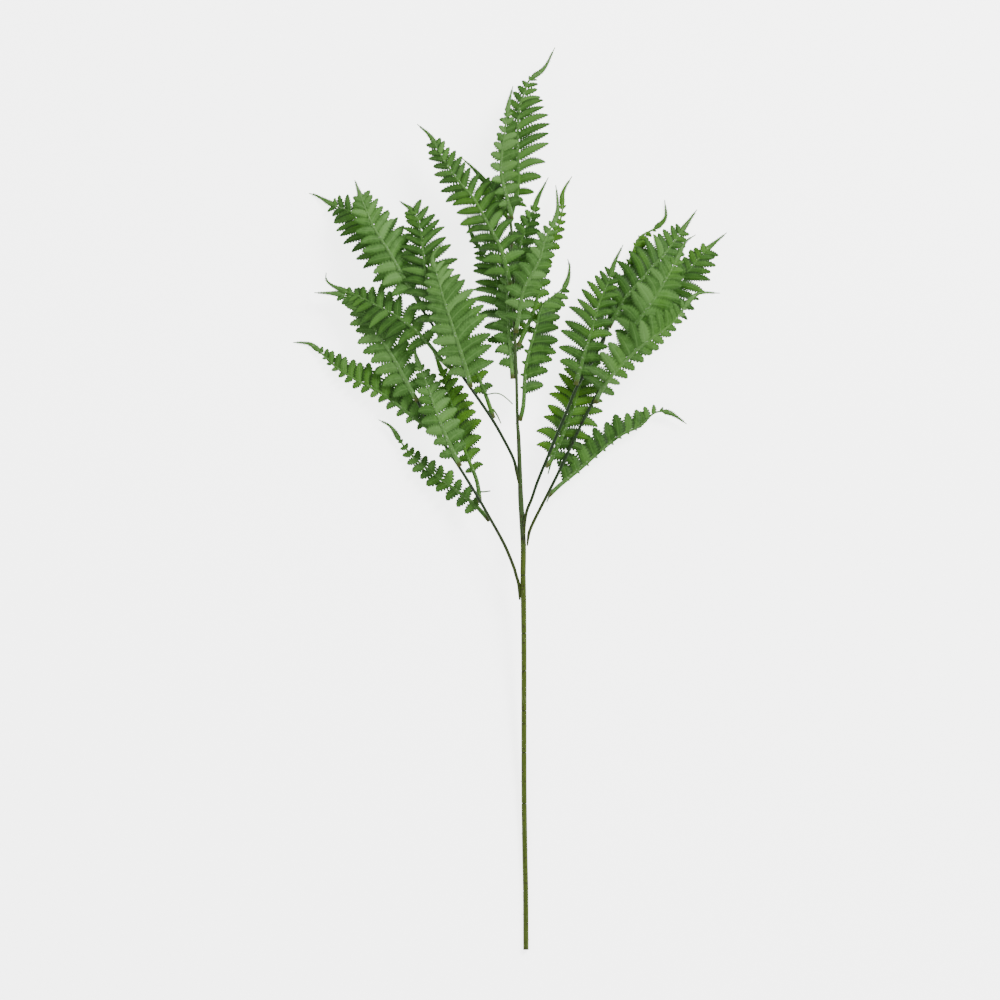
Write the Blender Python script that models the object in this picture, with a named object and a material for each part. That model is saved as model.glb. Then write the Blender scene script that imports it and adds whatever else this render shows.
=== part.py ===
"""Artificial bracken frond spray, laid down flat and seen from above.

A sleeved wire stem splits into four thinner branches, and 29 moulded fronds sit
on the ends and along the sides of these stems.  Every frond is one closed body:
a raised rib with pairs of lance shaped leaflets cut to the rib, which get shorter
towards a long thin tip.

Routes are read off a photograph in which one pixel is one millimetre: x to the
right, y down, with a height over the table added as the third number.
"""

import math
import random
from dataclasses import dataclass

import bpy
import bmesh
from mathutils import Vector

MM = 0.001

# Driving dimensions, in millimetres.
STEM_RADIUS = 2.3
NECK_DEPTH = 0.55
NECK_LENGTH = 2.4
CONTACT_GAP = 0.3
END_GAP = 0.6
LEAFLET_PITCH = 12.6
LEAFLET_PITCH_AT_TIP = 7.0
LEAFLET_THICKNESS = 0.7
LEAFLET_FULL_LENGTH = 33.0
RIB_WIDTH = 3.2
RIB_WIDTH_AT_TIP = 1.4
RIB_HEIGHT_SHARE = 0.6
COLLAR_WIDTH = 3.8
COLLAR_HEIGHT = 2.4
COLLAR_LENGTH = 6.0
COLLAR_FOOT = 0.8
COLLAR_STRAIGHT = 0.6
BARE_RIB = 9.0
TIP_TAPER = 30.0
TIP_SHOULDER = 11.0
TIP_WIDTH = 4.6
TIP_END_WIDTH = 0.9
TIP_WAIST_AT = 0.45

# Form of a leaflet, as shares of its own length or of the room between two of them.
WIDEST_AT = 0.5
BELLY_RISE = 0.02
TIP_DROOP = 0.07
ROOT_WIDTH = 0.66
BELLY_WIDTH = 0.92
BELLY_LEAN = 0.8

# Tilt of a half that looks narrow from above, and the spread of the seeded draws.
STEEPEST_HALF = 24.0
TILT_DRAW = 3.0
SWEEP_DRAW = 2.0
LENGTH_DRAW = (0.95, 1.04)
SEED = 20

# Smoothness: points on each stretch of a curve, and reach of a direction in mm.
CURVE_STEPS = 12
STEM_STEPS = 4
LOOK_AHEAD = 2.0
SMOOTH_ANGLE = 40.0

# Sweep of a leaflet away from the rib, in degrees, at the foot and near the tip.
SWEEP_AT_FOOT = 84.0
SWEEP_AT_TIP = 52.0

# Share of the full leaflet length along the leafy stretch, foot to tip.
LENGTH_PROFILE = ((0.0, 0.8), (0.2, 0.96), (0.42, 1.0), (0.65, 0.88))
LAST_CURVE_AT = 0.86
LAST_CURVE_BASE = 0.36
LAST_CURVE_SLOPE = 0.68
GROWN_AT = 0.35


@dataclass(frozen=True)
class Stem:
    """A sleeved wire.

    route holds (x, y, height, radius) from the foot up, necks holds the y of
    every groove between two lengths of sleeve, rows how many rings a stretch has.
    """

    name: str
    colour: str
    route: tuple
    necks: tuple = ()
    sides: int = 6
    rows: int = 2


@dataclass(frozen=True)
class Frond:
    """A moulded frond.

    rib holds (x, y, height) from the foot to the tip.  left and right are the
    longest leaflets as they look from above.  A half whose leaflets look short is
    tilted, fully up for a lift of 1 and fully down for a lift of -1.  bare is the
    stretch of rib without leaflets at the foot, taper the narrow one at the tip, and
    foot_share and tip_share shorten the lowest and the highest leaflets.
    """

    name: str
    carrier: str
    colour: str
    rib: tuple
    left: float
    right: float
    left_lift: float = -0.3
    right_lift: float = -0.3
    ends_stem: bool = False
    bare: float = BARE_RIB
    foot_share: float = 1.0
    pitch: float = LEAFLET_PITCH
    tip_share: float = 0.36
    taper: float = TIP_TAPER


@dataclass(frozen=True)
class Finish:
    """Colour and gloss of one moulded plastic."""

    colour: tuple
    roughness: float


FINISHES = {
    "sleeve_olive": Finish((0.110, 0.162, 0.020), 0.50),
    "sleeve_dark": Finish((0.022, 0.060, 0.020), 0.50),
    "leaf_light": Finish((0.150, 0.300, 0.082), 0.48),
    "leaf_mid": Finish((0.080, 0.205, 0.040), 0.50),
    "leaf_deep": Finish((0.062, 0.190, 0.014), 0.52),
}

STEMS = (
    Stem(
        "main_stem",
        "sleeve_olive",
        (
            (526.0, 951.0, 2.3, 2.3), (525.7, 892.0, 2.6, 2.3), (524.9, 851.0, 4.0, 2.3),
            (524.2, 800.0, 7.0, 2.3), (524.0, 753.0, 11.0, 2.3), (524.0, 671.0, 19.0, 2.3),
            (523.9, 640.0, 22.5, 2.3), (523.5, 598.0, 27.0, 2.4), (523.1, 575.0, 29.5, 2.4),
            (523.3, 544.6, 32.5, 2.4), (520.8, 500.0, 36.5, 2.3), (520.0, 477.0, 38.5, 1.9),
            (518.5, 437.0, 41.0, 1.6), (517.4, 421.0, 42.0, 1.15), (516.2, 370.0, 44.0, 1.1),
            (514.0, 317.0, 45.0, 1.1), (513.6, 285.0, 45.0, 1.1), (511.6, 254.6, 45.0, 1.05),
            (512.0, 237.7, 45.0, 1.0), (510.2, 220.0, 45.0, 1.0),
        ),
        (575.0, 634.0, 671.0, 709.0, 753.0, 803.0, 892.0),
        8,
        1,
    ),
    Stem(
        "branch_left_low",
        "sleeve_dark",
        (
            (519.6, 600.0, 27.0, 1.3), (518.9, 585.7, 28.5, 1.3), (516.0, 574.8, 30.0, 1.25),
            (513.0, 565.0, 31.0, 1.25), (504.0, 543.8, 32.0, 1.2), (489.8, 517.9, 33.0, 1.1),
            (475.3, 492.9, 33.5, 1.1), (456.0, 462.0, 33.5, 1.05), (437.0, 433.6, 32.5, 1.0),
            (427.4, 420.2, 31.5, 1.0), (417.8, 402.0, 30.0, 1.0),
        ),
    ),
    Stem(
        "branch_left_high",
        "sleeve_dark",
        (
            (518.6, 484.0, 41.2, 1.2), (516.6, 472.0, 42.6, 1.2), (513.3, 458.6, 44.0, 1.1),
            (503.9, 439.8, 45.5, 1.1), (493.2, 421.0, 46.5, 1.1), (479.8, 401.0, 47.0, 1.1),
            (463.8, 378.2, 47.0, 1.05), (450.4, 356.8, 46.0, 1.05), (433.6, 326.7, 43.0, 1.0),
            (422.8, 310.7, 40.0, 1.0), (412.9, 293.8, 37.0, 1.0),
        ),
    ),
    Stem(
        "branch_right_inner",
        "sleeve_dark",
        (
            (524.6, 543.0, 36.2, 1.2), (524.2, 528.0, 37.7, 1.2), (526.6, 511.6, 39.0, 1.15),
            (531.8, 498.4, 40.0, 1.1), (537.9, 480.5, 40.8, 1.1), (550.6, 449.9, 41.5, 1.1),
            (564.6, 416.7, 42.0, 1.05), (577.4, 386.1, 42.0, 1.05), (595.0, 356.2, 40.5, 1.0),
            (608.4, 328.4, 38.0, 1.0),
        ),
    ),
    Stem(
        "branch_right_outer",
        "sleeve_dark",
        (
            (527.4, 546.0, 31.4, 1.2), (528.0, 539.3, 31.8, 1.2), (529.6, 531.0, 32.2, 1.2),
            (535.4, 517.9, 32.8, 1.15), (548.0, 493.3, 33.2, 1.1), (562.0, 465.2, 33.2, 1.1),
            (581.2, 424.4, 32.5, 1.05), (595.3, 397.6, 32.0, 1.05), (610.5, 370.0, 33.0, 1.0),
            (620.9, 348.5, 36.0, 1.0),
        ),
    ),
)

FRONDS = (
    # Fronds of the main stem, from its end down.
    Frond(
        "frond_top", "main_stem", "leaf_mid",
        (
            (512.5, 214.0, 45.0), (517.8, 189.4, 46.5), (518.0, 165.0, 45.0), (517.6, 135.0, 42.0),
            (519.3, 109.0, 38.0), (524.4, 92.5, 35.0), (530.0, 79.5, 32.0), (544.0, 68.3, 28.0),
            (555.0, 47.0, 22.0),
        ),
        22.0, 35.0, -0.6, -0.6, ends_stem=True, foot_share=0.42, tip_share=0.2, taper=36.0,
    ),
    Frond(
        "frond_top_front", "main_stem", "leaf_light",
        (
            (511.5, 219.0, 48.0), (508.0, 202.0, 57.0), (501.0, 171.6, 62.0), (504.0, 138.4, 62.0),
            (508.4, 106.5, 58.0), (512.9, 86.8, 54.0),
        ),
        11.0, 17.0, 1.0, 1.0, bare=12.0,
    ),
    Frond(
        "frond_upper_left_back", "main_stem", "leaf_deep",
        (
            (510.6, 223.0, 41.0), (500.0, 206.0, 34.0), (489.5, 188.0, 28.0), (475.0, 170.0, 22.0),
            (461.0, 157.0, 19.0),
        ),
        20.0, 24.0,
    ),
    Frond(
        "frond_upper_left", "main_stem", "leaf_mid",
        (
            (511.0, 287.0, 48.0), (505.5, 265.4, 51.5), (499.3, 245.7, 53.0), (487.7, 224.3, 53.5),
            (474.0, 199.6, 52.5), (457.4, 180.5, 50.0), (440.8, 155.6, 46.0), (430.6, 137.0, 43.0),
            (417.2, 124.4, 39.0),
        ),
        27.0, 27.0, -0.6, -0.3, tip_share=0.42,
    ),
    Frond(
        "frond_upper_right_inner", "main_stem", "leaf_mid",
        (
            (513.5, 303.0, 38.0), (516.0, 283.0, 34.5), (517.5, 260.9, 33.0), (522.5, 237.7, 33.0),
            (531.4, 215.4, 33.0), (539.0, 195.7, 32.0), (548.4, 177.4, 31.0),
        ),
        17.0, 20.0, 0.0, 0.0,
    ),
    Frond(
        "frond_upper_right_front", "main_stem", "leaf_light",
        (
            (516.5, 334.0, 50.0), (522.5, 293.9, 60.0), (530.5, 277.0, 63.0), (539.5, 260.0, 64.0),
            (545.7, 238.6, 64.0), (556.4, 217.0, 62.0), (557.2, 200.0, 60.0), (555.5, 185.9, 57.0),
        ),
        17.0, 17.0, 0.2, -0.6, taper=37.0,
    ),
    Frond(
        "frond_upper_right_back", "main_stem", "leaf_deep",
        (
            (518.0, 349.0, 42.0), (533.2, 312.3, 34.0), (537.7, 293.9, 31.0), (541.3, 262.7, 28.0),
            (554.6, 235.9, 26.0), (561.8, 213.6, 25.0), (562.7, 193.0, 24.0), (572.0, 176.0, 21.0),
        ),
        13.0, 13.0, 0.3, -0.6, bare=14.0,
    ),
    Frond(
        "frond_mid_left", "main_stem", "leaf_mid",
        (
            (516.5, 374.0, 38.0), (513.0, 354.0, 33.0), (510.0, 338.0, 29.0), (504.0, 310.0, 27.0),
            (497.3, 282.0, 26.0), (487.7, 259.0, 26.0), (476.0, 243.0, 27.0), (469.5, 228.0, 26.0),
            (467.0, 214.0, 24.0),
        ),
        29.0, 21.0, -0.6, -0.2, bare=20.0, foot_share=0.8, tip_share=0.2,
    ),
    Frond(
        "frond_mid_front", "main_stem", "leaf_light",
        (
            (512.5, 380.0, 43.5), (510.6, 352.0, 40.5), (508.4, 325.7, 40.0), (507.0, 294.5, 40.0),
            (504.6, 267.0, 40.0), (499.5, 245.0, 39.0),
        ),
        16.0, 5.0, -0.6, -0.3,
    ),
    Frond(
        "frond_mid_right", "main_stem", "leaf_mid",
        (
            (518.9, 421.0, 44.0), (523.5, 404.0, 47.5), (526.0, 365.9, 49.0), (535.9, 328.4, 49.5),
            (543.0, 306.0, 48.5), (564.5, 286.8, 46.0), (569.4, 269.0, 44.0), (567.6, 259.1, 42.0),
        ),
        5.0, 28.0, 0.3, -0.6, bare=27.0,
    ),
    # Fronds of the high branch on the left.
    Frond(
        "frond_left_tip", "branch_left_high", "leaf_mid",
        (
            (412.0, 292.5, 36.5), (403.3, 275.0, 33.0), (392.0, 257.8, 29.0), (378.8, 239.4, 24.0),
            (366.5, 225.0, 20.0), (351.2, 211.8, 15.0), (333.9, 204.7, 8.5), (316.5, 195.0, 2.5),
            (308.4, 192.4, 0.6),
        ),
        35.0, 33.0, -0.3, -0.3, ends_stem=True, tip_share=0.3,
    ),
    Frond(
        "frond_left_tip_front", "branch_left_high", "leaf_light",
        (
            (421.0, 304.0, 42.0), (415.0, 295.0, 47.0), (405.0, 280.0, 50.0), (389.0, 252.0, 50.0),
            (374.0, 228.0, 47.0), (362.0, 200.0, 42.0), (354.8, 180.2, 37.0),
        ),
        24.0, 28.0, 0.5, -0.4, bare=15.0, tip_share=0.45, taper=18.0,
    ),
    Frond(
        "frond_left_upper", "branch_left_high", "leaf_mid",
        (
            (442.0, 342.0, 48.0), (438.0, 328.0, 55.0), (431.0, 300.0, 59.0), (424.9, 266.7, 59.0),
            (421.3, 236.0, 58.0), (415.5, 214.5, 55.0), (399.4, 201.4, 50.0),
        ),
        26.0, 34.0, -0.3, -0.6, bare=18.0, tip_share=0.45, taper=20.0,
    ),
    Frond(
        "frond_left_front", "branch_left_high", "leaf_light",
        (
            (471.5, 388.0, 51.0), (464.2, 362.7, 62.0), (454.5, 333.0, 68.0), (443.3, 297.3, 70.0),
            (436.5, 273.0, 69.0), (433.0, 257.0, 67.0), (443.3, 243.8, 64.0),
        ),
        25.0, 38.0, -0.5, -0.6,
    ),
    Frond(
        "frond_left_back", "branch_left_high", "leaf_deep",
        (
            (493.2, 418.0, 43.0), (487.7, 400.7, 40.0), (477.9, 375.7, 36.0), (466.0, 348.0, 34.0),
            (452.0, 312.0, 32.0), (444.0, 285.0, 30.0),
        ),
        15.0, 14.0, -0.3, -0.3, bare=24.0,
    ),
    Frond(
        "frond_left_cross", "branch_left_high", "leaf_mid",
        (
            (454.0, 371.0, 46.5), (443.5, 362.0, 47.0), (422.8, 337.4, 45.0), (403.0, 320.6, 43.0),
            (383.8, 309.3, 41.0), (361.4, 297.6, 38.0), (345.0, 291.0, 36.0), (333.0, 286.0, 35.0),
            (326.4, 280.0, 34.0), (326.2, 272.6, 33.0),
        ),
        29.0, 22.0, -0.3, 0.2, bare=36.0, foot_share=0.85, tip_share=0.2, taper=34.0,
    ),
    # Fronds of the low branch on the left.
    Frond(
        "frond_left_mid", "branch_left_low", "leaf_light",
        (
            (417.2, 400.6, 29.8), (407.3, 383.3, 28.0), (393.0, 357.8, 27.0), (378.8, 335.3, 26.0),
            (370.6, 321.0, 25.0), (358.3, 301.5, 24.0), (340.0, 294.0, 22.0), (314.0, 292.4, 17.0),
        ),
        25.0, 25.0, -0.3, -0.3, ends_stem=True,
    ),
    Frond(
        "frond_left_outer", "branch_left_low", "leaf_mid",
        (
            (435.0, 433.0, 29.0), (421.6, 423.0, 24.0), (402.2, 408.8, 19.0), (381.8, 393.5, 16.0),
            (353.3, 378.2, 12.0), (335.9, 366.9, 9.0), (313.5, 346.0, 4.0), (303.3, 342.4, 2.2),
            (292.5, 341.9, 0.8),
        ),
        10.0, 24.0, 0.3, 0.2, tip_share=0.3,
    ),
    Frond(
        "frond_left_inner", "branch_left_low", "leaf_light",
        (
            (460.0, 466.0, 37.0), (445.6, 435.5, 41.0), (435.0, 407.7, 39.0), (427.4, 385.6, 37.0),
            (417.5, 361.0, 35.0), (415.0, 350.0, 34.0), (417.0, 338.0, 33.0),
        ),
        18.0, 20.0, -0.2, -0.3,
    ),
    Frond(
        "frond_left_shaded", "branch_left_low", "leaf_deep",
        (
            (480.0, 502.0, 30.0), (476.5, 480.0, 24.0), (465.7, 452.7, 20.0), (457.0, 425.0, 18.0),
            (450.0, 400.0, 16.0), (441.0, 370.0, 14.0), (431.0, 345.0, 12.0),
        ),
        15.0, 27.0, -0.2, -0.6, bare=28.0, foot_share=0.6,
    ),
    Frond(
        "frond_left_lowest", "branch_left_low", "leaf_mid",
        (
            (489.8, 520.6, 30.0), (473.3, 503.4, 24.0), (446.5, 483.3, 15.0), (417.8, 461.3, 10.0),
            (401.6, 443.1, 8.0), (391.0, 427.0, 8.0), (378.2, 419.4, 8.0),
        ),
        15.0, 14.0, 0.0, 0.2, bare=16.0, tip_share=0.25,
    ),
    # Fronds of the inner branch on the right.
    Frond(
        "frond_right_inner_low", "branch_right_inner", "leaf_deep",
        (
            (545.6, 467.0, 38.0), (552.5, 457.5, 31.5), (564.6, 430.8, 27.0), (575.0, 402.0, 24.0),
            (585.0, 368.0, 21.0), (592.0, 340.0, 19.0), (597.0, 322.0, 17.0),
        ),
        31.0, 30.0, -0.6, -0.3, bare=10.0, foot_share=0.85,
    ),
    Frond(
        "frond_right_inner_high", "branch_right_inner", "leaf_mid",
        (
            (576.0, 386.0, 44.0), (583.0, 358.0, 46.0), (591.2, 331.3, 46.0), (598.9, 303.6, 45.0),
            (607.0, 285.0, 44.0), (615.0, 261.5, 42.0), (623.0, 245.0, 40.0),
        ),
        31.0, 23.0, -0.6, -0.2,
    ),
    Frond(
        "frond_right_back", "branch_right_inner", "leaf_deep",
        (
            (602.5, 343.0, 34.0), (611.0, 312.0, 22.0), (622.0, 282.0, 16.0), (632.0, 255.0, 11.0),
            (640.0, 237.0, 8.0), (655.0, 227.8, 5.5), (665.8, 217.0, 4.0), (665.1, 199.1, 2.5),
        ),
        5.0, 20.0, -0.2, -0.1, bare=26.0, tip_share=0.2,
    ),
    Frond(
        "frond_right_upper", "branch_right_inner", "leaf_mid",
        (
            (609.3, 327.2, 37.5), (623.5, 301.0, 33.0), (637.8, 283.8, 28.0), (651.2, 268.4, 23.0),
            (662.7, 256.0, 18.0), (673.0, 243.0, 12.0), (697.6, 208.7, 0.6),
        ),
        31.0, 27.0, -0.2, -0.3, ends_stem=True,
    ),
    # Fronds of the outer branch on the right.
    Frond(
        "frond_right_lowest", "branch_right_outer", "leaf_mid",
        (
            (548.5, 495.0, 30.0), (560.8, 484.3, 26.0), (581.2, 467.8, 22.0), (601.6, 449.9, 19.0),
            (622.0, 434.6, 17.0), (640.0, 426.0, 15.0), (655.0, 412.6, 13.0), (670.5, 412.9, 11.0),
            (687.1, 423.8, 9.0),
        ),
        26.0, 3.5, -0.4, -0.4, bare=20.0, tip_share=0.2,
    ),
    Frond(
        "frond_right_folded", "branch_right_outer", "leaf_light",
        (
            (594.0, 402.0, 33.0), (600.0, 393.0, 41.0), (606.0, 384.0, 48.0), (613.0, 374.0, 55.0),
            (635.2, 351.4, 63.0), (651.2, 339.2, 68.0), (672.3, 323.0, 70.0), (682.5, 309.5, 70.0),
            (697.0, 294.5, 68.0), (719.1, 293.8, 65.0),
        ),
        28.0, 15.0, 0.45, -0.5, bare=12.0, tip_share=0.3, taper=38.0,
    ),
    Frond(
        "frond_right_front", "branch_right_outer", "leaf_light",
        (
            (621.9, 347.0, 36.5), (635.0, 325.0, 50.0), (651.0, 304.0, 57.0), (666.0, 279.0, 59.0),
            (677.0, 259.0, 59.0), (684.7, 243.0, 58.0), (695.2, 235.4, 56.0),
        ),
        25.0, 26.0, 0.0, -0.4, ends_stem=True, bare=16.0,
    ),
    Frond(
        "frond_right_outer", "branch_right_outer", "leaf_mid",
        (
            (619.5, 354.0, 33.0), (643.6, 316.0, 39.0), (662.7, 297.1, 39.5), (679.0, 281.8, 39.0),
            (695.2, 262.7, 37.0), (703.8, 252.2, 35.0), (726.8, 232.6, 31.0),
        ),
        22.0, 34.0, 0.0, -0.4, tip_share=0.45,
    ),
)


def clear_scene():
    """Remove everything that the default scene holds."""
    for item in list(bpy.data.objects):
        bpy.data.objects.remove(item, do_unlink=True)


def blend(table, place):
    """Value at place in a table of (place, value) pairs, straight between them."""
    for (here, low), (there, high) in zip(table, table[1:]):
        if place <= there:
            return low + (high - low) * (place - here) / (there - here)
    return table[-1][1]


def smooth_route(points, steps):
    """Points of a smooth curve through the given ones, steps on each stretch."""
    ends = [points[0] * 2 - points[1]] + list(points) + [points[-1] * 2 - points[-2]]
    route = []
    for before, here, there, after in zip(ends, ends[1:], ends[2:], ends[3:]):
        slope = there - before
        bend = before * 2 - here * 5 + there * 4 - after
        twist = here * 3 - before - there * 3 + after
        for step in range(steps):
            u = step / steps
            route.append((here * 2 + slope * u + bend * u**2 + twist * u**3) * 0.5)
    route.append(points[-1].copy())
    return route


class Path:
    """A smooth curve that can be read at any distance from its foot."""

    def __init__(self, points, steps=CURVE_STEPS):
        self.points = smooth_route(points, steps)
        self.marks = [0.0]
        for here, there in zip(self.points, self.points[1:]):
            self.marks.append(self.marks[-1] + (there - here).length)
        self.length = self.marks[-1]

    def at(self, distance):
        """Place on the curve."""
        for number in range(1, len(self.marks)):
            if distance <= self.marks[number]:
                stretch = self.marks[number] - self.marks[number - 1]
                share = max(distance - self.marks[number - 1], 0.0) / stretch
                return self.points[number - 1].lerp(self.points[number], share)
        return self.points[-1].copy()

    def along(self, distance):
        """Direction of the curve."""
        return (self.at(distance + LOOK_AHEAD) - self.at(distance - LOOK_AHEAD)).normalized()

    def frame(self, distance):
        """Direction, right hand side and upper side of the curve."""
        ahead = self.along(distance)
        right = ahead.cross(Vector((0, 0, 1))).normalized()
        return ahead, right, right.cross(ahead).normalized()

    def nearest(self, place):
        """Distance from the foot of the point closest to a place."""
        gaps = [(point - place).length for point in self.points]
        return self.marks[gaps.index(min(gaps))]


def place_of(row):
    """The first three numbers of a row as a vector, with y turned up."""
    return Vector((row[0], -row[1], row[2]))


def stem_value(stem, y, column):
    """Number in a column of the stem's route, where the stem passes a y."""
    return blend([(-row[1], row[column]) for row in stem.route], -y)


def plastic(name, colour):
    """Principled material of one piece."""
    finish = FINISHES[colour]
    material = bpy.data.materials.new(name + "_plastic")
    material.use_nodes = True
    shader = material.node_tree.nodes["Principled BSDF"]
    shader.inputs["Base Color"].default_value = (*finish.colour, 1.0)
    shader.inputs["Roughness"].default_value = finish.roughness
    shader.inputs["Metallic"].default_value = 0.0
    return material


def add_object(shape, name, colour):
    """Turn a shape's faces outward and make it a named object of its own plastic."""
    bmesh.ops.recalc_face_normals(shape, faces=shape.faces[:])
    bmesh.ops.triangulate(shape, faces=[face for face in shape.faces if len(face.verts) > 3])
    mesh = bpy.data.meshes.new(name)
    shape.to_mesh(mesh)
    shape.free()
    mesh.shade_smooth()
    mesh.set_sharp_from_angle(angle=math.radians(SMOOTH_ANGLE))
    mesh.materials.append(plastic(name, colour))
    item = bpy.data.objects.new(name, mesh)
    bpy.context.scene.collection.objects.link(item)
    return item


def stem_rings(stem, path):
    """Distance along the stem and share of its radius for every ring."""
    rings = [(mark, 1.0) for mark in path.marks[:: STEM_STEPS // stem.rows]]
    for y in stem.necks:
        neck = path.nearest(Vector((stem_value(stem, y, 0), -y, stem_value(stem, y, 2))))
        rings = [ring for ring in rings if abs(ring[0] - neck) > NECK_LENGTH]
        rings.append((neck - NECK_LENGTH / 2, 1.0))
        rings.append((neck, 1.0 - NECK_DEPTH / STEM_RADIUS))
        rings.append((neck + NECK_LENGTH / 2, 1.0))
    return sorted(rings)


def build_stem(stem):
    """A round bar along the route, with a cap on each end."""
    path = Path([place_of(row) for row in stem.route], STEM_STEPS)
    shape = bmesh.new()
    loops = []
    for mark, share in stem_rings(stem, path):
        centre = path.at(mark)
        _, right, up = path.frame(mark)
        radius = stem_value(stem, -centre.y, 3) * share
        loop = []
        for side in range(stem.sides):
            turn = math.tau * (side + 0.5) / stem.sides
            spoke = right * math.cos(turn) + up * math.sin(turn)
            loop.append(shape.verts.new((centre + spoke * radius) * MM))
        loops.append(loop)
    for low, high in zip(loops, loops[1:]):
        for side in range(stem.sides):
            after = (side + 1) % stem.sides
            shape.faces.new((low[side], low[after], high[after], high[side]))
    shape.faces.new(loops[0])
    shape.faces.new(loops[-1])
    return add_object(shape, stem.name, stem.colour)


def frond_foot(frond, stems):
    """First rib point, moved to sit a contact gap off the stem that carries it."""
    stem = stems[frond.carrier]
    path = Path([place_of(row) for row in stem.route])
    if frond.ends_stem:
        return path.at(path.length) + path.along(path.length) * END_GAP
    wanted = place_of(frond.rib[0])
    mark = path.nearest(wanted)
    centre = path.at(mark)
    ahead = path.along(mark)
    off = wanted - centre
    off -= ahead * off.dot(ahead)
    clear = stem_value(stem, -centre.y, 3) + CONTACT_GAP + COLLAR_WIDTH * COLLAR_FOOT / 2
    return centre + off.normalized() * clear


def leaflet_room(path, frond, mark):
    """Room that a leaflet pair has along the rib, less near the tip."""
    first = frond.bare + frond.pitch / 2
    share = (mark - first) / (path.length - frond.taper - first)
    return frond.pitch + (LEAFLET_PITCH_AT_TIP - frond.pitch) * share


def leaflet_marks(path, frond):
    """Middle of every leaflet pair along the rib."""
    marks = [frond.bare + frond.pitch / 2]
    while True:
        mark = marks[-1] + leaflet_room(path, frond, marks[-1])
        if mark > path.length - frond.taper:
            return marks
        marks.append(mark)


def length_share(frond, share):
    """Length of a leaflet against the longest one, at a share of the leafy stretch."""
    last_curve = LAST_CURVE_BASE + LAST_CURVE_SLOPE * frond.tip_share
    near_tip = ((LAST_CURVE_AT, last_curve), (1.0, frond.tip_share))
    grown = blend(((0.0, frond.foot_share), (GROWN_AT, 1.0), (1.0, 1.0)), share)
    return blend(LENGTH_PROFILE + near_tip, share) * grown


def half_tilt(seen, lift):
    """Real leaflet length and tilt of a half that looks seen long from above."""
    share = min(seen / LEAFLET_FULL_LENGTH, 1.0)
    tilt = min(math.acos(share), math.radians(STEEPEST_HALF)) * lift
    return seen / math.cos(tilt), tilt


def rib_ring(shape, path, mark, width, thickness):
    """Corners of the rib: left top, right top, right bottom, left bottom."""
    _, right, up = path.frame(mark)
    centre = path.at(mark)
    corners = ((-1, 1), (1, 1), (1, -1), (-1, -1))
    return [
        shape.verts.new((centre + right * width / 2 * x + up * thickness / 2 * y) * MM)
        for x, y in corners
    ]


def rib_width(path, frond, mark):
    """Width of the rib, from its collar to the last leaflet."""
    share = mark / (path.length - frond.taper)
    return RIB_WIDTH + (RIB_WIDTH_AT_TIP - RIB_WIDTH) * share


def rib_rings(shape, path, frond, marks):
    """All rings from the foot to the tip, and the numbers of those below a leaflet."""
    stops = [
        (0.0, COLLAR_WIDTH * COLLAR_FOOT, COLLAR_HEIGHT),
        (COLLAR_LENGTH * COLLAR_STRAIGHT, COLLAR_WIDTH, COLLAR_HEIGHT),
        (COLLAR_LENGTH, RIB_WIDTH, RIB_WIDTH * RIB_HEIGHT_SHARE),
    ]
    leafy = []
    for mark in marks:
        root = leaflet_room(path, frond, mark) * ROOT_WIDTH
        width = rib_width(path, frond, mark)
        leafy.append(len(stops))
        stops.append((mark - root / 2, width, width * RIB_HEIGHT_SHARE))
        stops.append((mark + root / 2, width, width * RIB_HEIGHT_SHARE))
    shoulder = marks[-1] + TIP_SHOULDER
    waist = shoulder + (path.length - shoulder) * TIP_WAIST_AT
    stops.append((shoulder, TIP_WIDTH, RIB_WIDTH_AT_TIP * RIB_HEIGHT_SHARE))
    stops.append((waist, TIP_WIDTH / 2, LEAFLET_THICKNESS))
    stops.append((path.length, TIP_END_WIDTH, LEAFLET_THICKNESS))
    return [rib_ring(shape, path, *stop) for stop in stops], leafy


def bridge(shape, low, high, is_leafy):
    """Close the rib between two rings, but for its sides where leaflets grow."""
    shape.faces.new((low[0], low[1], high[1]))
    shape.faces.new((low[0], high[1], high[0]))
    shape.faces.new((low[3], low[2], high[2]))
    shape.faces.new((low[3], high[2], high[3]))
    if not is_leafy:
        shape.faces.new((low[1], low[2], high[2], high[1]))
        shape.faces.new((low[3], low[0], high[0], high[3]))


def add_leaflet(shape, low, high, middle_line, normal, width):
    """One leaflet on the open side of the rib between two rings.

    low and high are the (top, bottom) vertices of the rib's edge, nearer the foot
    and nearer the tip.  middle_line holds the leaflet's belly and its tip, with the
    direction across it.  Both faces are cut into triangles alike.
    """
    belly, tip, across = middle_line
    half = normal * LEAFLET_THICKNESS / 2
    corners = (belly - across * width / 2, belly + across * width / 2, tip)
    low_top, high_top, tip_top = [shape.verts.new((c + half) * MM) for c in corners]
    low_base, high_base, tip_base = [shape.verts.new((c - half) * MM) for c in corners]
    for root_low, root_high, edge_low, edge_high, point in (
        (low[0], high[0], low_top, high_top, tip_top),
        (low[1], high[1], low_base, high_base, tip_base),
    ):
        shape.faces.new((root_low, root_high, edge_high))
        shape.faces.new((root_low, edge_high, edge_low))
        shape.faces.new((edge_low, edge_high, point))
    shape.faces.new((low[0], low[1], low_base, low_top))
    shape.faces.new((high[0], high[1], high_base, high_top))
    shape.faces.new((low_top, low_base, tip_base, tip_top))
    shape.faces.new((high_top, high_base, tip_base, tip_top))


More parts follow.
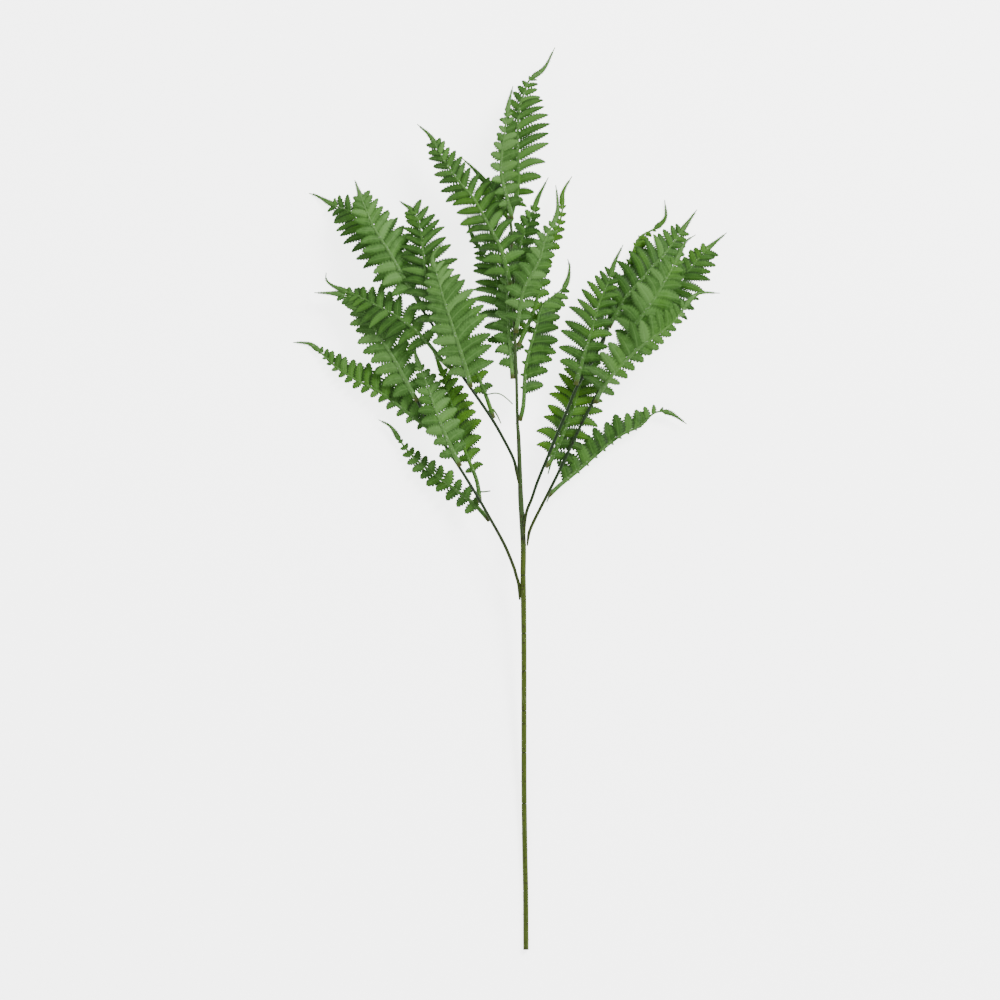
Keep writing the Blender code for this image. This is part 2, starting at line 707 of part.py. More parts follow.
def half_lines(frond, path, marks, side, draws):
    """Belly, tip, direction across, normal and widest belly of each leaflet of a half."""
    seen, lift = (frond.left, frond.left_lift) if side < 0 else (frond.right, frond.right_lift)
    full, steady_tilt = half_tilt(seen, lift)
    lines = []
    for mark in marks:
        share = (mark - marks[0]) / (marks[-1] - marks[0])
        ahead, right, up = path.frame(mark)
        length = full * length_share(frond, share) * draws.uniform(*LENGTH_DRAW)
        tilt = steady_tilt + math.radians(draws.uniform(-TILT_DRAW, TILT_DRAW))
        sweep = SWEEP_AT_FOOT + (SWEEP_AT_TIP - SWEEP_AT_FOOT) * share
        sweep = math.radians(sweep + draws.uniform(-SWEEP_DRAW, SWEEP_DRAW))
        outward = right * side * math.cos(tilt) + up * math.sin(tilt)
        normal = up * math.cos(tilt) - right * side * math.sin(tilt)
        along = ahead * math.cos(sweep) + outward * math.sin(sweep)
        across = ahead * math.sin(sweep) - outward * math.cos(sweep)
        root = path.at(mark) + right * side * rib_width(path, frond, mark) / 2
        belly = root + (along * WIDEST_AT + normal * BELLY_RISE) * length
        tip = root + (along - normal * TIP_DROOP) * length
        # A short leaflet that leans forward stays so slim that its belly clears the rib.
        widest = 2 * length * WIDEST_AT * math.tan(sweep) * BELLY_LEAN
        lines.append((belly, tip, across, normal, widest))
    return lines


def belly_width(lines, number, room):
    """Width of a leaflet at its belly, less where a bend of the rib crowds it."""
    belly, _, across, _, widest = lines[number]
    beside = lines[max(number - 1, 0) : number] + lines[number + 1 : number + 2]
    gaps = [abs((other[0] - belly).dot(across)) for other in beside]
    return min(min([room] + gaps) * BELLY_WIDTH, widest)


def grow_half(shape, frond, path, marks, rings, leafy, side, draws):
    """All leaflets of one half: side is +1 on the right and -1 on the left."""
    corner = (0, 3) if side < 0 else (1, 2)
    lines = half_lines(frond, path, marks, side, draws)
    for number, (ring, mark) in enumerate(zip(leafy, marks)):
        belly, tip, across, normal, _ = lines[number]
        width = belly_width(lines, number, leaflet_room(path, frond, mark))
        low = [rings[ring][index] for index in corner]
        high = [rings[ring + 1][index] for index in corner]
        add_leaflet(shape, low, high, (belly, tip, across), normal, width)


def build_frond(frond, stems, number):
    """A rib with leaflets on both sides, as one closed body."""
    points = [frond_foot(frond, stems)] + [place_of(row) for row in frond.rib[1:]]
    path = Path(points)
    marks = leaflet_marks(path, frond)
    shape = bmesh.new()
    rings, leafy = rib_rings(shape, path, frond, marks)
    for place, (low, high) in enumerate(zip(rings, rings[1:])):
        bridge(shape, low, high, place in leafy)
    shape.faces.new(rings[0])
    shape.faces.new(rings[-1])
    draws = random.Random(SEED + number)
    for side in (-1, 1):
        grow_half(shape, frond, path, marks, rings, leafy, side, draws)
    return add_object(shape, frond.name, frond.colour)


def lay_on_table(items):
    """Centre the spray over the origin and put its lowest points on the table."""
    corners = [vertex.co for item in items for vertex in item.data.vertices]
    low = Vector([min(corner[axis] for corner in corners) for axis in range(3)])
    high = Vector([max(corner[axis] for corner in corners) for axis in range(3)])
    shift = Vector((-(low.x + high.x) / 2, -(low.y + high.y) / 2, -low.z))
    for item in items:
        for vertex in item.data.vertices:
            vertex.co += shift


def main():
    """Build all stems and fronds."""
    clear_scene()
    stems = {stem.name: stem for stem in STEMS}
    items = [build_stem(stem) for stem in STEMS]
    items += [build_frond(frond, stems, number) for number, frond in enumerate(FRONDS)]
    lay_on_table(items)


main()
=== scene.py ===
"""Looks of the artificial bracken spray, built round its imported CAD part.

Every stem and every frond of the part is replaced by a finer piece that follows the
same route: sleeved wires with grooves between their sleeves, and moulded fronds whose
toothed leaflets are set along a tapering rib.  Geometry Nodes set the leaflets and
sweep the tubes.  One unit of the routes is a millimetre, read off a photograph with x
to the right and y down.
"""

import logging
import math
import random
from dataclasses import dataclass, field
from enum import Enum
from typing import Optional, Sequence

import bpy
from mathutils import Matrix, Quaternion, Vector

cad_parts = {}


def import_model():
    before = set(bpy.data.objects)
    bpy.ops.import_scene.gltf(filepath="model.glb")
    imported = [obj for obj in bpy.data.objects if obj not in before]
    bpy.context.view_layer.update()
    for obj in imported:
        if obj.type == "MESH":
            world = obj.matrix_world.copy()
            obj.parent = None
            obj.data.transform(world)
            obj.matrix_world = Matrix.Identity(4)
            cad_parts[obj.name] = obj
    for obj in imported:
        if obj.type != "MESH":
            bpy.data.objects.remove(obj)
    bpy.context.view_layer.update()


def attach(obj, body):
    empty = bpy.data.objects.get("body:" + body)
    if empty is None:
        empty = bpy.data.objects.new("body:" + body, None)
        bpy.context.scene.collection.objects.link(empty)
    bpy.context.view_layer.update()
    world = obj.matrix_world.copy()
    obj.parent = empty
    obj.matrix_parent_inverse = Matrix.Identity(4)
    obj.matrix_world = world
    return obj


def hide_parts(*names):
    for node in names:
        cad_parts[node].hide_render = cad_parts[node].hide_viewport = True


LOG = logging.getLogger("bracken_spray")

MM = 0.001
# Place of the photograph's corner in the frame, in mm, once the spray is centred.
SHEET_ORIGIN = Vector((-509.7855, 498.8669, -0.1751))
# Length of a ripple of a leaflet's edge, and how its noise moves on with tone and seed.
RIPPLE_PITCH_MM = 6.25
RIPPLE_PER_TONE = 9.0
RIPPLE_PER_SEED = 1.7
TIP_SIDES = 6

Row = tuple[float, ...]
Table = tuple[tuple[float, float], ...]
Socket = bpy.types.NodeSocket


class Plastic(Enum):
    """Finishes of the part, named as its material slots are."""

    SLEEVE_OLIVE = "sleeve_olive"
    SLEEVE_DARK = "sleeve_dark"
    # The leaf slots are copies of one green in three lights: leaf_light for fronds on top, and leaf_deep
    # darker and yellower for fronds lying under others, as painted shade with light shining through.
    LEAF_LIGHT = "leaf_light"
    LEAF_MID = "leaf_mid"
    LEAF_DEEP = "leaf_deep"


class Half(Enum):
    """Side of the rib that a row of leaflets grows on, seen from its foot."""

    LEFT = -1
    RIGHT = 1


class Blade(Enum):
    """Patterns of one blade, by the number of teeth on each edge."""

    LONG = 11
    MEDIUM = 7
    SHORT = 4
    TOOTH = 0

    @property
    def label(self) -> str:
        """Name of the input that takes its mesh."""
        return self.name.title() + (" Leaflet" if self.value else "")

    @property
    def number(self) -> int:
        """What the attribute pattern says at a root of this blade."""
        return list(Blade).index(self) + 1


class Chain(Enum):
    """What a point of a base mesh belongs to, as its attribute flat says."""

    NONE = -1
    TUBE = 0
    TIP = 1
    BURR = 2


def linear(colour: str) -> tuple[float, float, float, float]:
    """Turn an sRGB hex colour into the linear numbers that a shader takes.

    Args:
        colour: Six hex digits after a hash sign.

    Returns:
        Linear red, green, blue and an alpha of 1.
    """
    shares = [int(colour[i : i + 2], 16) / 255.0 for i in (1, 3, 5)]
    turned = [s / 12.92 if s <= 0.04045 else ((s + 0.055) / 1.055) ** 2.4 for s in shares]
    return (turned[0], turned[1], turned[2], 1.0)


def add_node(
    tree: bpy.types.NodeTree, kind: str, links: Optional[dict] = None, out: object = 0, **settings: object
) -> Socket:
    """Add a node with its settings, its fixed inputs and its incoming links.

    Args:
        tree: Node tree that gets the node.
        kind: Blender's name of the node type.
        links: Input name or number to a socket, a list of sockets or a fixed value.
        out: Name or number of the output that is handed back.
        **settings: Properties of the node itself.

    Returns:
        The output asked for.
    """
    node = tree.nodes.new(kind)
    for name, value in settings.items():
        setattr(node, name, value)
    for name, sources in (links or {}).items():
        for source in sources if isinstance(sources, list) else [sources]:
            if isinstance(source, Socket):
                tree.links.new(source, node.inputs[name])
            else:
                node.inputs[name].default_value = source
    return node.outputs[out]


def work_out(tree: bpy.types.NodeTree, known: dict, sums: Sequence[tuple]) -> None:
    """Work out a formula, one sum a row, and add each result to the known values.

    Args:
        tree: Node tree that gets the sums.
        known: Sockets by plain name.
        sums: Rows of a result's name, its operation, and names or numbers to work on.
    """
    for name, operation, *terms in sums:
        links = {number: known.get(term, term) for number, term in enumerate(terms)}
        known[name] = add_node(tree, "ShaderNodeMath", links, operation=operation)


def lay(
    tree: bpy.types.NodeTree, below: object, tint: object, mask: Socket, span: Row = (), *shares: object
) -> Socket:
    """Lay a colour over another one where a mask tells.

    Args:
        tree: Node tree of a material.
        below: Hex colour or socket that is covered.
        tint: Hex colour or socket that covers it.
        mask: Value that says where.
        span: Values of the mask at which the cover begins and is full, or nothing for a
            mask that is a share itself.
        *shares: Numbers or sockets that thin the cover.

    Returns:
        Socket with the colour.
    """
    if span:
        links = {"Value": mask, "From Min": span[0], "From Max": span[1]}
        mask = add_node(tree, "ShaderNodeMapRange", links, "Result", interpolation_type="SMOOTHSTEP")
    for share in shares:
        mask = add_node(tree, "ShaderNodeMath", {0: mask, 1: share}, operation="MULTIPLY")
    ends = [linear(colour) if isinstance(colour, str) else colour for colour in (below, tint)]
    return add_node(tree, "ShaderNodeMix", {0: mask, 6: ends[0], 7: ends[1]}, 2, data_type="RGBA")


def blend(table: Sequence[tuple[float, float]], place: float) -> float:
    """Read a table of (place, value) pairs, straight between its rows.

    Args:
        table: Pairs in rising order of place.
        place: Where to read.

    Returns:
        The value there, or the last one beyond the table's end.
    """
    for (here, low), (there, high) in zip(table, table[1:]):
        if place <= there:
            return low + (high - low) * (place - here) / (there - here)
    return table[-1][1]


def place_of(row: Row) -> Vector:
    """First three numbers of a route's row as a vector, with y turned up."""
    return Vector((row[0], -row[1], row[2]))


class Route:
    """A smooth curve through given points that can be read at any distance.

    Args:
        points: Points in millimetres, from the foot up.
        steps: Points on each stretch between two given ones.
    """

    REACH = 2.0

    def __init__(self, points: Sequence[Vector], steps: int = 12) -> None:
        self.points = self._smooth(points, steps)
        self.marks = [0.0]
        for here, there in zip(self.points, self.points[1:]):
            self.marks.append(self.marks[-1] + (there - here).length)
        self.length = self.marks[-1]

    @staticmethod
    def _smooth(points: Sequence[Vector], steps: int) -> list[Vector]:
        """Points of a Catmull-Rom curve.

        Args:
            points: Points that the curve passes.
            steps: Points on each stretch.

        Returns:
            The curve's points, both ends among them.
        """
        ends = [points[0] * 2 - points[1]] + list(points) + [points[-1] * 2 - points[-2]]
        curve = []
        for before, here, there, after in zip(ends, ends[1:], ends[2:], ends[3:]):
            slope = there - before
            bend = before * 2 - here * 5 + there * 4 - after
            twist = here * 3 - before - there * 3 + after
            for step in range(steps):
                u = step / steps
                curve.append((here * 2 + slope * u + bend * u**2 + twist * u**3) * 0.5)
        curve.append(points[-1].copy())
        return curve

    def at(self, distance: float) -> Vector:
        """Place on the curve.

        Args:
            distance: Distance from the foot.

        Returns:
            Place in millimetres, or the curve's end beyond it.
        """
        for number in range(1, len(self.marks)):
            if distance <= self.marks[number]:
                stretch = self.marks[number] - self.marks[number - 1]
                share = max(distance - self.marks[number - 1], 0.0) / stretch
                return self.points[number - 1].lerp(self.points[number], share)
        return self.points[-1].copy()

    def frame(self, distance: float) -> tuple[Vector, Vector, Vector]:
        """Directions of the curve.

        Args:
            distance: Distance from the foot.

        Returns:
            Unit vectors ahead, to the right and up.
        """
        ahead = (self.at(distance + self.REACH) - self.at(distance - self.REACH)).normalized()
        right = ahead.cross(Vector((0, 0, 1))).normalized()
        return ahead, right, right.cross(ahead).normalized()

    def nearest(self, place: Vector) -> float:
        """Distance from the foot of the point closest to a place."""
        gaps = [(point - place).length for point in self.points]
        return self.marks[gaps.index(min(gaps))]


class PlasticFinish:
    """What the finishes of leaves and sleeves share."""

    slot: Plastic
    gloss: tuple[float, float]
    MAKING = ""
    IOR = 1.5
    # The plastics are matt, and mirror less of the bright room than a clean one would.
    SPECULAR = 0.12
    RELIEF_SHARE = 0.5
    RELIEF_MM = 0.2

    def start(self) -> tuple[bpy.types.Material, bpy.types.NodeTree, Socket]:
        """Start a material that is named for its plastic.

        Returns:
            The material, its tree, and Object coordinates in it.
        """
        material = bpy.data.materials.new(self.MAKING + self.slot.value)
        material.use_nodes = True
        tree = material.node_tree
        return material, tree, add_node(tree, "ShaderNodeTexCoord", out="Object")

    def finish(self, tree: bpy.types.NodeTree, colour: Socket, wear: Socket, relief: Socket) -> None:
        """Join the patterns to the shader.

        Args:
            tree: Node tree of the material.
            colour: Colour of the surface.
            wear: Pattern by which the gloss varies.
            relief: Height of the fine relief.
        """
        shader = tree.nodes["Principled BSDF"]
        links = {"Value": wear, "To Min": self.gloss[0], "To Max": self.gloss[1]}
        rough = add_node(tree, "ShaderNodeMapRange", links, "Result")
        links = {"Height": relief, "Strength": self.RELIEF_SHARE, "Distance": self.RELIEF_MM * MM}
        normal = add_node(tree, "ShaderNodeBump", links, "Normal")
        for name, source in (("Base Color", colour), ("Roughness", rough), ("Normal", normal)):
            tree.links.new(source, shader.inputs[name])
        for name, value in (("IOR", self.IOR), ("Specular IOR Level", self.SPECULAR), ("Metallic", 0.0)):
            shader.inputs[name].default_value = value


@dataclass(frozen=True)
class LeafFinish(PlasticFinish):
    """Printed polyethylene of a frond.

    The leaves are moulded in a green plastic and rubbed with a paler ink, so the raised
    rib and veins look lighter and the hollows between them keep the deeper green.  Light
    and shade are painted in as well: pale specks of painted highlight on the rib, painted
    shade towards each leaflet's edges, yellower patches of painted light shining through
    the leaf, and a painted tone for each leaflet from shaded to lit.
    """

    slot: Plastic
    face: str
    # deep is the darker green of the mottle and of painted shade; pale is painted light on well-lit
    # leaflets.
    deep: str
    pale: str
    vein: str
    under: str
    # Yellower green of painted light shining through the leaf, laid in cloudy patches, and how much of it.
    through_light: str
    through_light_share: float
    # Darker green of the painted shade towards each leaflet's edges, and how much of it.
    rim: str
    edge_shade_share: float
    collar: str = "#3b431a"
    # Pale specks on the rib are painted highlights.
    speck: str = "#9db48e"
    vein_pitch_mm: float = 2.1
    vein_lean: float = 0.8
    vein_span: tuple[float, float] = (0.45, 0.98)
    midvein_span: tuple[float, float] = (0.16, 0.02)
    vein_ink: float = 0.16
    midvein_ink: float = 0.28
    vein_relief: float = 0.4
    midvein_relief: float = -0.8
    grain_relief: float = 0.35
    through_light_mm: float = 34.0
    mottle_mm: float = 5.0
    grain_mm: float = 0.9
    # Size of the rib's specks of painted highlight.
    speck_mm: float = 1.7
    gloss: tuple[float, float] = (0.42, 0.66)

    MAKING = "printed_polyethylene_"
    IOR = 1.51
    RELIEF_SHARE = 0.6
    RELIEF_MM = 0.3

    def material(self) -> bpy.types.Material:
        """Build the leaf's material.

        Returns:
            A material that reads the attributes set by the frond's node tree: blade
            (share along, share across, side), size (length, half width, tone) and limb
            (rib, collar).
        """
        material, tree, place = self.start()
        named = [
            add_node(tree, "ShaderNodeAttribute", out="Vector", attribute_name=name)
            for name in ("blade", "size", "limb")
        ]
        (along, side, face), (length, half, tone), (rib, collar, _) = (
            add_node(tree, "ShaderNodeSeparateXYZ", {0: vector}).node.outputs for vector in named
        )
        # Broad cloudy patches a leaflet long, for painted light shining through the leaf, and a fine mottle
        # where the ink lies unevenly.
        patterns = ((self.through_light_mm, 2.0), (self.mottle_mm, 4.0), (self.grain_mm, 2.0), (self.speck_mm, 3.0))
        through_light_cloud, mottle, grain, rib_glints = (
            add_node(
                tree, "ShaderNodeTexNoise",
                {"Vector": place, "Scale": 1.0 / (size * MM), "Detail": detail}, "Fac",
            )
            for size, detail in patterns
        )
        # Slanting side veins, one for each tooth of the edge, and one along the middle.
        known = {"along": along, "side": side, "length": length, "half": half, "grain": grain}
        work_out(tree, known, (
            ("across", "ABSOLUTE", "side"),
            ("reach", "MULTIPLY", "along", "length"),
            ("slant", "MULTIPLY", "across", "half"),
            ("slant", "MULTIPLY", "slant", self.vein_lean),
            ("phase", "SUBTRACT", "reach", "slant"),
            ("phase", "MULTIPLY", "phase", math.tau / (self.vein_pitch_mm * MM)),
            ("wave", "COSINE", "phase"),
        ))
        veins = (("vein", "wave", self.vein_span), ("midvein", "across", self.midvein_span))
        for name, source, (low, high) in veins:
            known[name] = add_node(
                tree, "ShaderNodeMapRange", {"Value": known[source], "From Min": low, "From Max": high},
                "Result", interpolation_type="SMOOTHSTEP",
            )
        work_out(tree, known, (
            ("line", "MULTIPLY", "vein", self.vein_ink),
            ("middle", "MULTIPLY", "midvein", self.midvein_ink),
            ("line", "MAXIMUM", "line", "middle"),
            ("relief", "MULTIPLY", "vein", self.vein_relief),
            ("furrow", "MULTIPLY", "midvein", self.midvein_relief),
            ("relief", "ADD", "relief", "furrow"),
            ("grit", "MULTIPLY", "grain", self.grain_relief),
            ("relief", "ADD", "relief", "grit"),
        ))
        # The pair in each line is where the pattern begins to cover and where it covers fully.
        colour = lay(tree, self.deep, self.face, mottle, (0.3, 0.7))
        # Each leaflet has a tone of its own, from shaded to well lit.
        colour = lay(tree, colour, self.deep, tone, (0.42, 0.0), 0.75)
        colour = lay(tree, colour, self.pale, tone, (0.55, 1.0), 0.8)
        # Painted light: yellower cloudy patches where light would shine through the leaf.
        clear = 0.62 - 0.3 * self.through_light_share
        colour = lay(tree, colour, self.through_light, through_light_cloud, (clear, 0.74), self.through_light_share)
        # Painted shade: each leaflet darkens towards its edges.
        colour = lay(tree, colour, self.rim, known["across"], (0.48, 0.9), self.edge_shade_share)
        colour = lay(tree, colour, self.vein, known["line"])
        colour = lay(tree, colour, self.under, face, (-0.15, -0.6))
        # The rib keeps the leaf's green, painted at the shaded end of the tones, with pale specks that are
        # painted highlights.
        colour = lay(tree, colour, self.speck, rib_glints, (0.56, 0.7), 0.4, rib)
        colour = lay(tree, colour, self.collar, collar)
        self.finish(tree, colour, mottle, known["relief"])
        return material


@dataclass(frozen=True)
class SleeveFinish(PlasticFinish):
    """Extruded PVC sleeve over a wire.

    Soft PVC drawn over wire has fine lengthwise streaks and dull rubbed specks, and the
    cut end shows the dark bore with a trace of rust from the wire.
    """

    slot: Plastic
    face: str
    deep: str
    streak: str
    speck: str
    upper: str
    rust: str = "#7a4a1e"
    bore: str = "#0e1008"
    streak_mm: tuple[float, float] = (0.9, 26.0)
    speck_mm: float = 3.2
    gloss: tuple[float, float] = (0.34, 0.58)

    MAKING = "extruded_pvc_"
    IOR = 1.53

    def material(self) -> bpy.types.Material:
        """Build the sleeve's material.

        Returns:
            A material on Object coordinates, with the attribute limb (cut end, groove,
            share of the darker upper sleeve).
        """
        material, tree, place = self.start()
        limb = add_node(tree, "ShaderNodeAttribute", out="Vector", attribute_name="limb")
        cut, groove, upper = add_node(tree, "ShaderNodeSeparateXYZ", {0: limb}).node.outputs
        thick, long = self.streak_mm
        scale = tuple(1 / (size * MM) for size in (thick, long, thick))
        drawn_out = add_node(tree, "ShaderNodeMapping", {"Vector": place, "Scale": scale})
        streaks, specks = (
            add_node(tree, "ShaderNodeTexNoise", {"Vector": source, "Scale": size, "Detail": detail}, "Fac")
            for source, size, detail in ((drawn_out, 1.0, 3.0), (place, 1 / (self.speck_mm * MM), 5.0))
        )
        rubbed = (0.58, 0.66)
        colour = lay(tree, self.face, self.deep, streaks, (0.35, 0.65))
        colour = lay(tree, colour, self.streak, streaks, (0.56, 0.72))
        colour = lay(tree, colour, self.upper, upper)
        colour = lay(tree, colour, self.speck, specks, rubbed)
        colour = lay(tree, colour, self.bore, groove)
        colour = lay(tree, colour, lay(tree, self.bore, self.rust, specks, rubbed), cut)
        self.finish(tree, colour, specks, streaks)
        return material


class GrowTree:
    """A Geometry Nodes tree with named inputs, built once and shared by its pieces.

    Args:
        name: Name of the tree.
        inputs: Name of each input but the geometry and the material, with its type.
    """

    def __init__(self, name: str, inputs: dict[str, str]) -> None:
        self.tree = bpy.data.node_groups.new(name, "GeometryNodeTree")
        face = self.tree.interface
        face.new_socket("Geometry", in_out="OUTPUT", socket_type="NodeSocketGeometry")
        self.identifiers = {
            label: face.new_socket(label, in_out="INPUT", socket_type="NodeSocket" + kind).identifier
            for label, kind in {"Geometry": "Geometry", **inputs, "Material": "Material"}.items()
        }
        self.given = self.tree.nodes.new("NodeGroupInput").outputs

    def add(self, kind: str, links: Optional[dict] = None, out: object = 0, **settings: object) -> Socket:
        """Add a node of the tree, as add_node does."""
        return add_node(self.tree, kind, links, out, **settings)

    def chosen(self, attribute: str, number: int) -> Socket:
        """Choose the points or edges that have a number in an attribute.

        Args:
            attribute: Name of the attribute.
            number: Number that it has to hold.

        Returns:
            Socket with the selection.
        """
        links = {"Name": attribute}
        value = self.add("GeometryNodeInputNamedAttribute", links, "Attribute", data_type="INT")
        links = {2: value, 3: number}
        return self.add("FunctionNodeCompare", links, "Result", data_type="INT", operation="EQUAL")

    def swept(self, chain: Socket, sides: object, height_share: object) -> Socket:
        """Sweep an oval along a chain of edges, as thick as its work_radius attribute.

        Args:
            chain: Mesh of edges.
            sides: Corners of the oval.
            height_share: Height of the oval against its width.

        Returns:
            Geometry of the closed tube.
        """
        curve = self.add("GeometryNodeMeshToCurve", {"Mesh": chain})
        curve = self.add("GeometryNodeSetCurveNormal", {"Curve": curve}, mode="Z_UP")
        ring = self.add("GeometryNodeCurvePrimitiveCircle", {"Resolution": sides, "Radius": 1.0})
        flat = self.add("ShaderNodeCombineXYZ", {"X": 1.0, "Y": height_share, "Z": 1.0})
        oval = self.add("GeometryNodeTransform", {"Geometry": ring, "Scale": flat})
        thick = {"Name": "work_radius"}
        radius = self.add("GeometryNodeInputNamedAttribute", thick, "Attribute", data_type="FLOAT")
        links = {"Curve": curve, "Profile Curve": oval, "Scale": radius, "Fill Caps": True}
        return self.add("GeometryNodeCurveToMesh", links)

    def finish(self, *parts: Socket) -> None:
        """Join, realize, smooth and dress the parts, and send them out of the tree.

        Args:
            *parts: Sockets with the finished shapes.
        """
        whole = self.add("GeometryNodeJoinGeometry", {"Geometry": list(parts)})
        clean = self.add(
            "GeometryNodeRemoveAttribute", {"Geometry": whole, "Name": "work_*"}, pattern_mode="WILDCARD"
        )
        real = self.add("GeometryNodeRealizeInstances", {"Geometry": clean})
        smooth = self.add("GeometryNodeSetShadeSmooth", {"Geometry": real})
        links = {"Geometry": smooth, "Material": self.given["Material"]}
        dressed = self.add("GeometryNodeSetMaterial", links)
        self.tree.links.new(dressed, self.tree.nodes.new("NodeGroupOutput").inputs[0])


def frond_tree() -> GrowTree:
    """Tree that grows a frond from one mesh of edges and points.

    The edges are the rib and the flat tip, told apart by the attribute flat.  Each loose
    point is the root of a leaflet and carries its directions, sizes and form, and pattern
    says which of the three leaflet meshes it takes, or the tooth.

    Returns:
        The tree, with the names of its inputs.
    """
    build = GrowTree("frond", {
        **{blade.label: "Object" for blade in Blade},
        "Leaflet Thickness": "Float", "Leaflet Cup": "Float", "Edge Ripple": "Float",
        "Ripple Seed": "Int", "Rib Sides": "Int", "Rib Height Share": "Float",
        "Tip Height Share": "Float",
    })
    base = build.given["Geometry"]
    links = {"Geometry": base, "Name": "work_root", "Value": build.add("GeometryNodeInputPosition")}
    rooted = build.add(
        "GeometryNodeStoreNamedAttribute", links, data_type="FLOAT_VECTOR", domain="POINT"
    )
    rows = []
    for blade in Blade:
        shape = build.add("GeometryNodeObjectInfo", {"Object": build.given[blade.label]}, "Geometry")
        roots = build.chosen("pattern", blade.number)
        links = {"Points": rooted, "Selection": roots, "Instance": shape}
        rows.append(build.add("GeometryNodeInstanceOnPoints", links))
    leaflets = build.add("GeometryNodeJoinGeometry", {"Geometry": rows})
    leaflets = build.add("GeometryNodeRealizeInstances", {"Geometry": leaflets})
    links = {"Geometry": leaflets, "Position": leaflet_place(build)}
    leaflets = build.add("GeometryNodeSetPosition", links)
    rib, tip = (
        build.add(
            "GeometryNodeSeparateGeometry",
            {"Geometry": base, "Selection": build.chosen("flat", chain.value)}, domain="EDGE",
        )
        for chain in (Chain.TUBE, Chain.TIP)
    )
    rib = build.swept(rib, build.given["Rib Sides"], build.given["Rib Height Share"])
    tip = build.swept(tip, TIP_SIDES, build.given["Tip Height Share"])
    build.finish(leaflets, rib, tip)
    return build


def leaflet_place(build: GrowTree) -> Socket:
    """Place of each vertex of the leaflets, bowed, cupped, twisted and rippled.

    Args:
        build: Tree of the frond.

    Returns:
        Socket with the place, from the vertex's place in the unit leaflet.
    """
    names = ("work_root", "size", "work_form", "work_along", "work_across", "work_normal")
    root, size, form, *directions = (
        build.add("GeometryNodeInputNamedAttribute", {"Name": name}, "Attribute", data_type="FLOAT_VECTOR")
        for name in names
    )
    here = build.add("GeometryNodeInputPosition")
    unit = build.add("ShaderNodeVectorMath", {0: here, 1: root}, operation="SUBTRACT")
    known = dict(build.given.items())
    for vector, numbers in ((unit, "u v w"), (size, "length half tone"), (form, "bow droop twist")):
        parts = build.add("ShaderNodeSeparateXYZ", {0: vector}).node.outputs
        known.update(zip(numbers.split(), parts))
    work_out(build.tree, known, (
        ("reach", "MULTIPLY", "u", "length"),
        ("square", "MULTIPLY", "reach", "u"),
        ("wide", "MULTIPLY", "v", "half"),
        ("angle", "MULTIPLY", "twist", "u"),
        ("level", "COSINE", "angle"),
        ("side", "MULTIPLY", "wide", "level"),
        ("arch", "SUBTRACT", "reach", "square"),
        ("arch", "MULTIPLY", "bow", "arch"),
        ("side", "ADD", "side", "arch"),
        ("rise", "MULTIPLY", "w", "Leaflet Thickness"),
        ("fall", "MULTIPLY", "droop", "square"),
        ("rise", "SUBTRACT", "rise", "fall"),
        ("cup", "MULTIPLY", "v", "wide"),
        ("cup", "MULTIPLY", "cup", "Leaflet Cup"),
        ("rise", "SUBTRACT", "rise", "cup"),
        ("turn", "SINE", "angle"),
        ("turn", "MULTIPLY", "wide", "turn"),
        ("rise", "ADD", "rise", "turn"),
        # A fourth place in the noise, so that no two leaflets are rippled alike.
        ("own", "MULTIPLY", "tone", RIPPLE_PER_TONE),
        ("seed", "MULTIPLY", "Ripple Seed", RIPPLE_PER_SEED),
        ("own", "ADD", "own", "seed"),
    ))
    links = {"Vector": here, "W": known["own"], "Scale": 1.0 / (RIPPLE_PITCH_MM * MM), "Detail": 1.0}
    known["wave"] = build.add("ShaderNodeTexNoise", links, noise_dimensions="4D")
    work_out(build.tree, known, (
        ("ripple", "SUBTRACT", "wave", 0.5),
        ("edge", "ABSOLUTE", "v"),
        ("ripple", "MULTIPLY", "ripple", "edge"),
        ("ripple", "MULTIPLY", "ripple", "Edge Ripple"),
        ("rise", "ADD", "rise", "ripple"),
    ))
    place = root
    for direction, name in zip(directions, ("reach", "side", "rise")):
        step = build.add("ShaderNodeVectorMath", {0: direction, "Scale": known[name]}, operation="SCALE")
        place = build.add("ShaderNodeVectorMath", {0: place, 1: step}, operation="ADD")
    return place


def stem_tree() -> GrowTree:
    """Tree that sweeps a stem along its edges and sets small burrs on its loose points.

    Returns:
        The tree, with the names of its inputs.
    """
    build = GrowTree("sleeved_stem", {"Sides": "Int", "Burr Radius": "Float"})
    base = build.given["Geometry"]
    tube = build.swept(base, build.given["Sides"], 1.0)
    links = {"Radius": build.given["Burr Radius"], "Subdivisions": 2}
    burr = build.add("GeometryNodeMeshIcoSphere", links)
    links = {"Points": base, "Selection": build.chosen("flat", Chain.BURR.value), "Instance": burr}
    build.finish(tube, build.add("GeometryNodeInstanceOnPoints", links))
    return build


def grown(
    name: str, base: bpy.types.Mesh, build: GrowTree, values: dict, material: bpy.types.Material
) -> bpy.types.Object:
    """Run a tree on a base mesh and keep its result as a plain mesh.

    Args:
        name: Name of the piece.
        base: Edges and points that the tree reads.
        build: Tree and the names of its inputs.
        values: Value of each named input but the material.
        material: Finish of the piece.

    Returns:
        Object at the origin with no modifier left on it.
    """
    item = bpy.data.objects.new(name, base)
    bpy.context.scene.collection.objects.link(item)
    modifier = item.modifiers.new("grow", "NODES")
    modifier.node_group = build.tree
    for label, value in {**values, "Material": material}.items():
        modifier[build.identifiers[label]] = value
    bpy.context.view_layer.update()
    graph = bpy.context.evaluated_depsgraph_get()
    mesh = bpy.data.meshes.new_from_object(item.evaluated_get(graph))
    item.modifiers.remove(modifier)
    item.data = mesh
    mesh.name = name
    if not mesh.materials:
        mesh.materials.append(material)
    return item


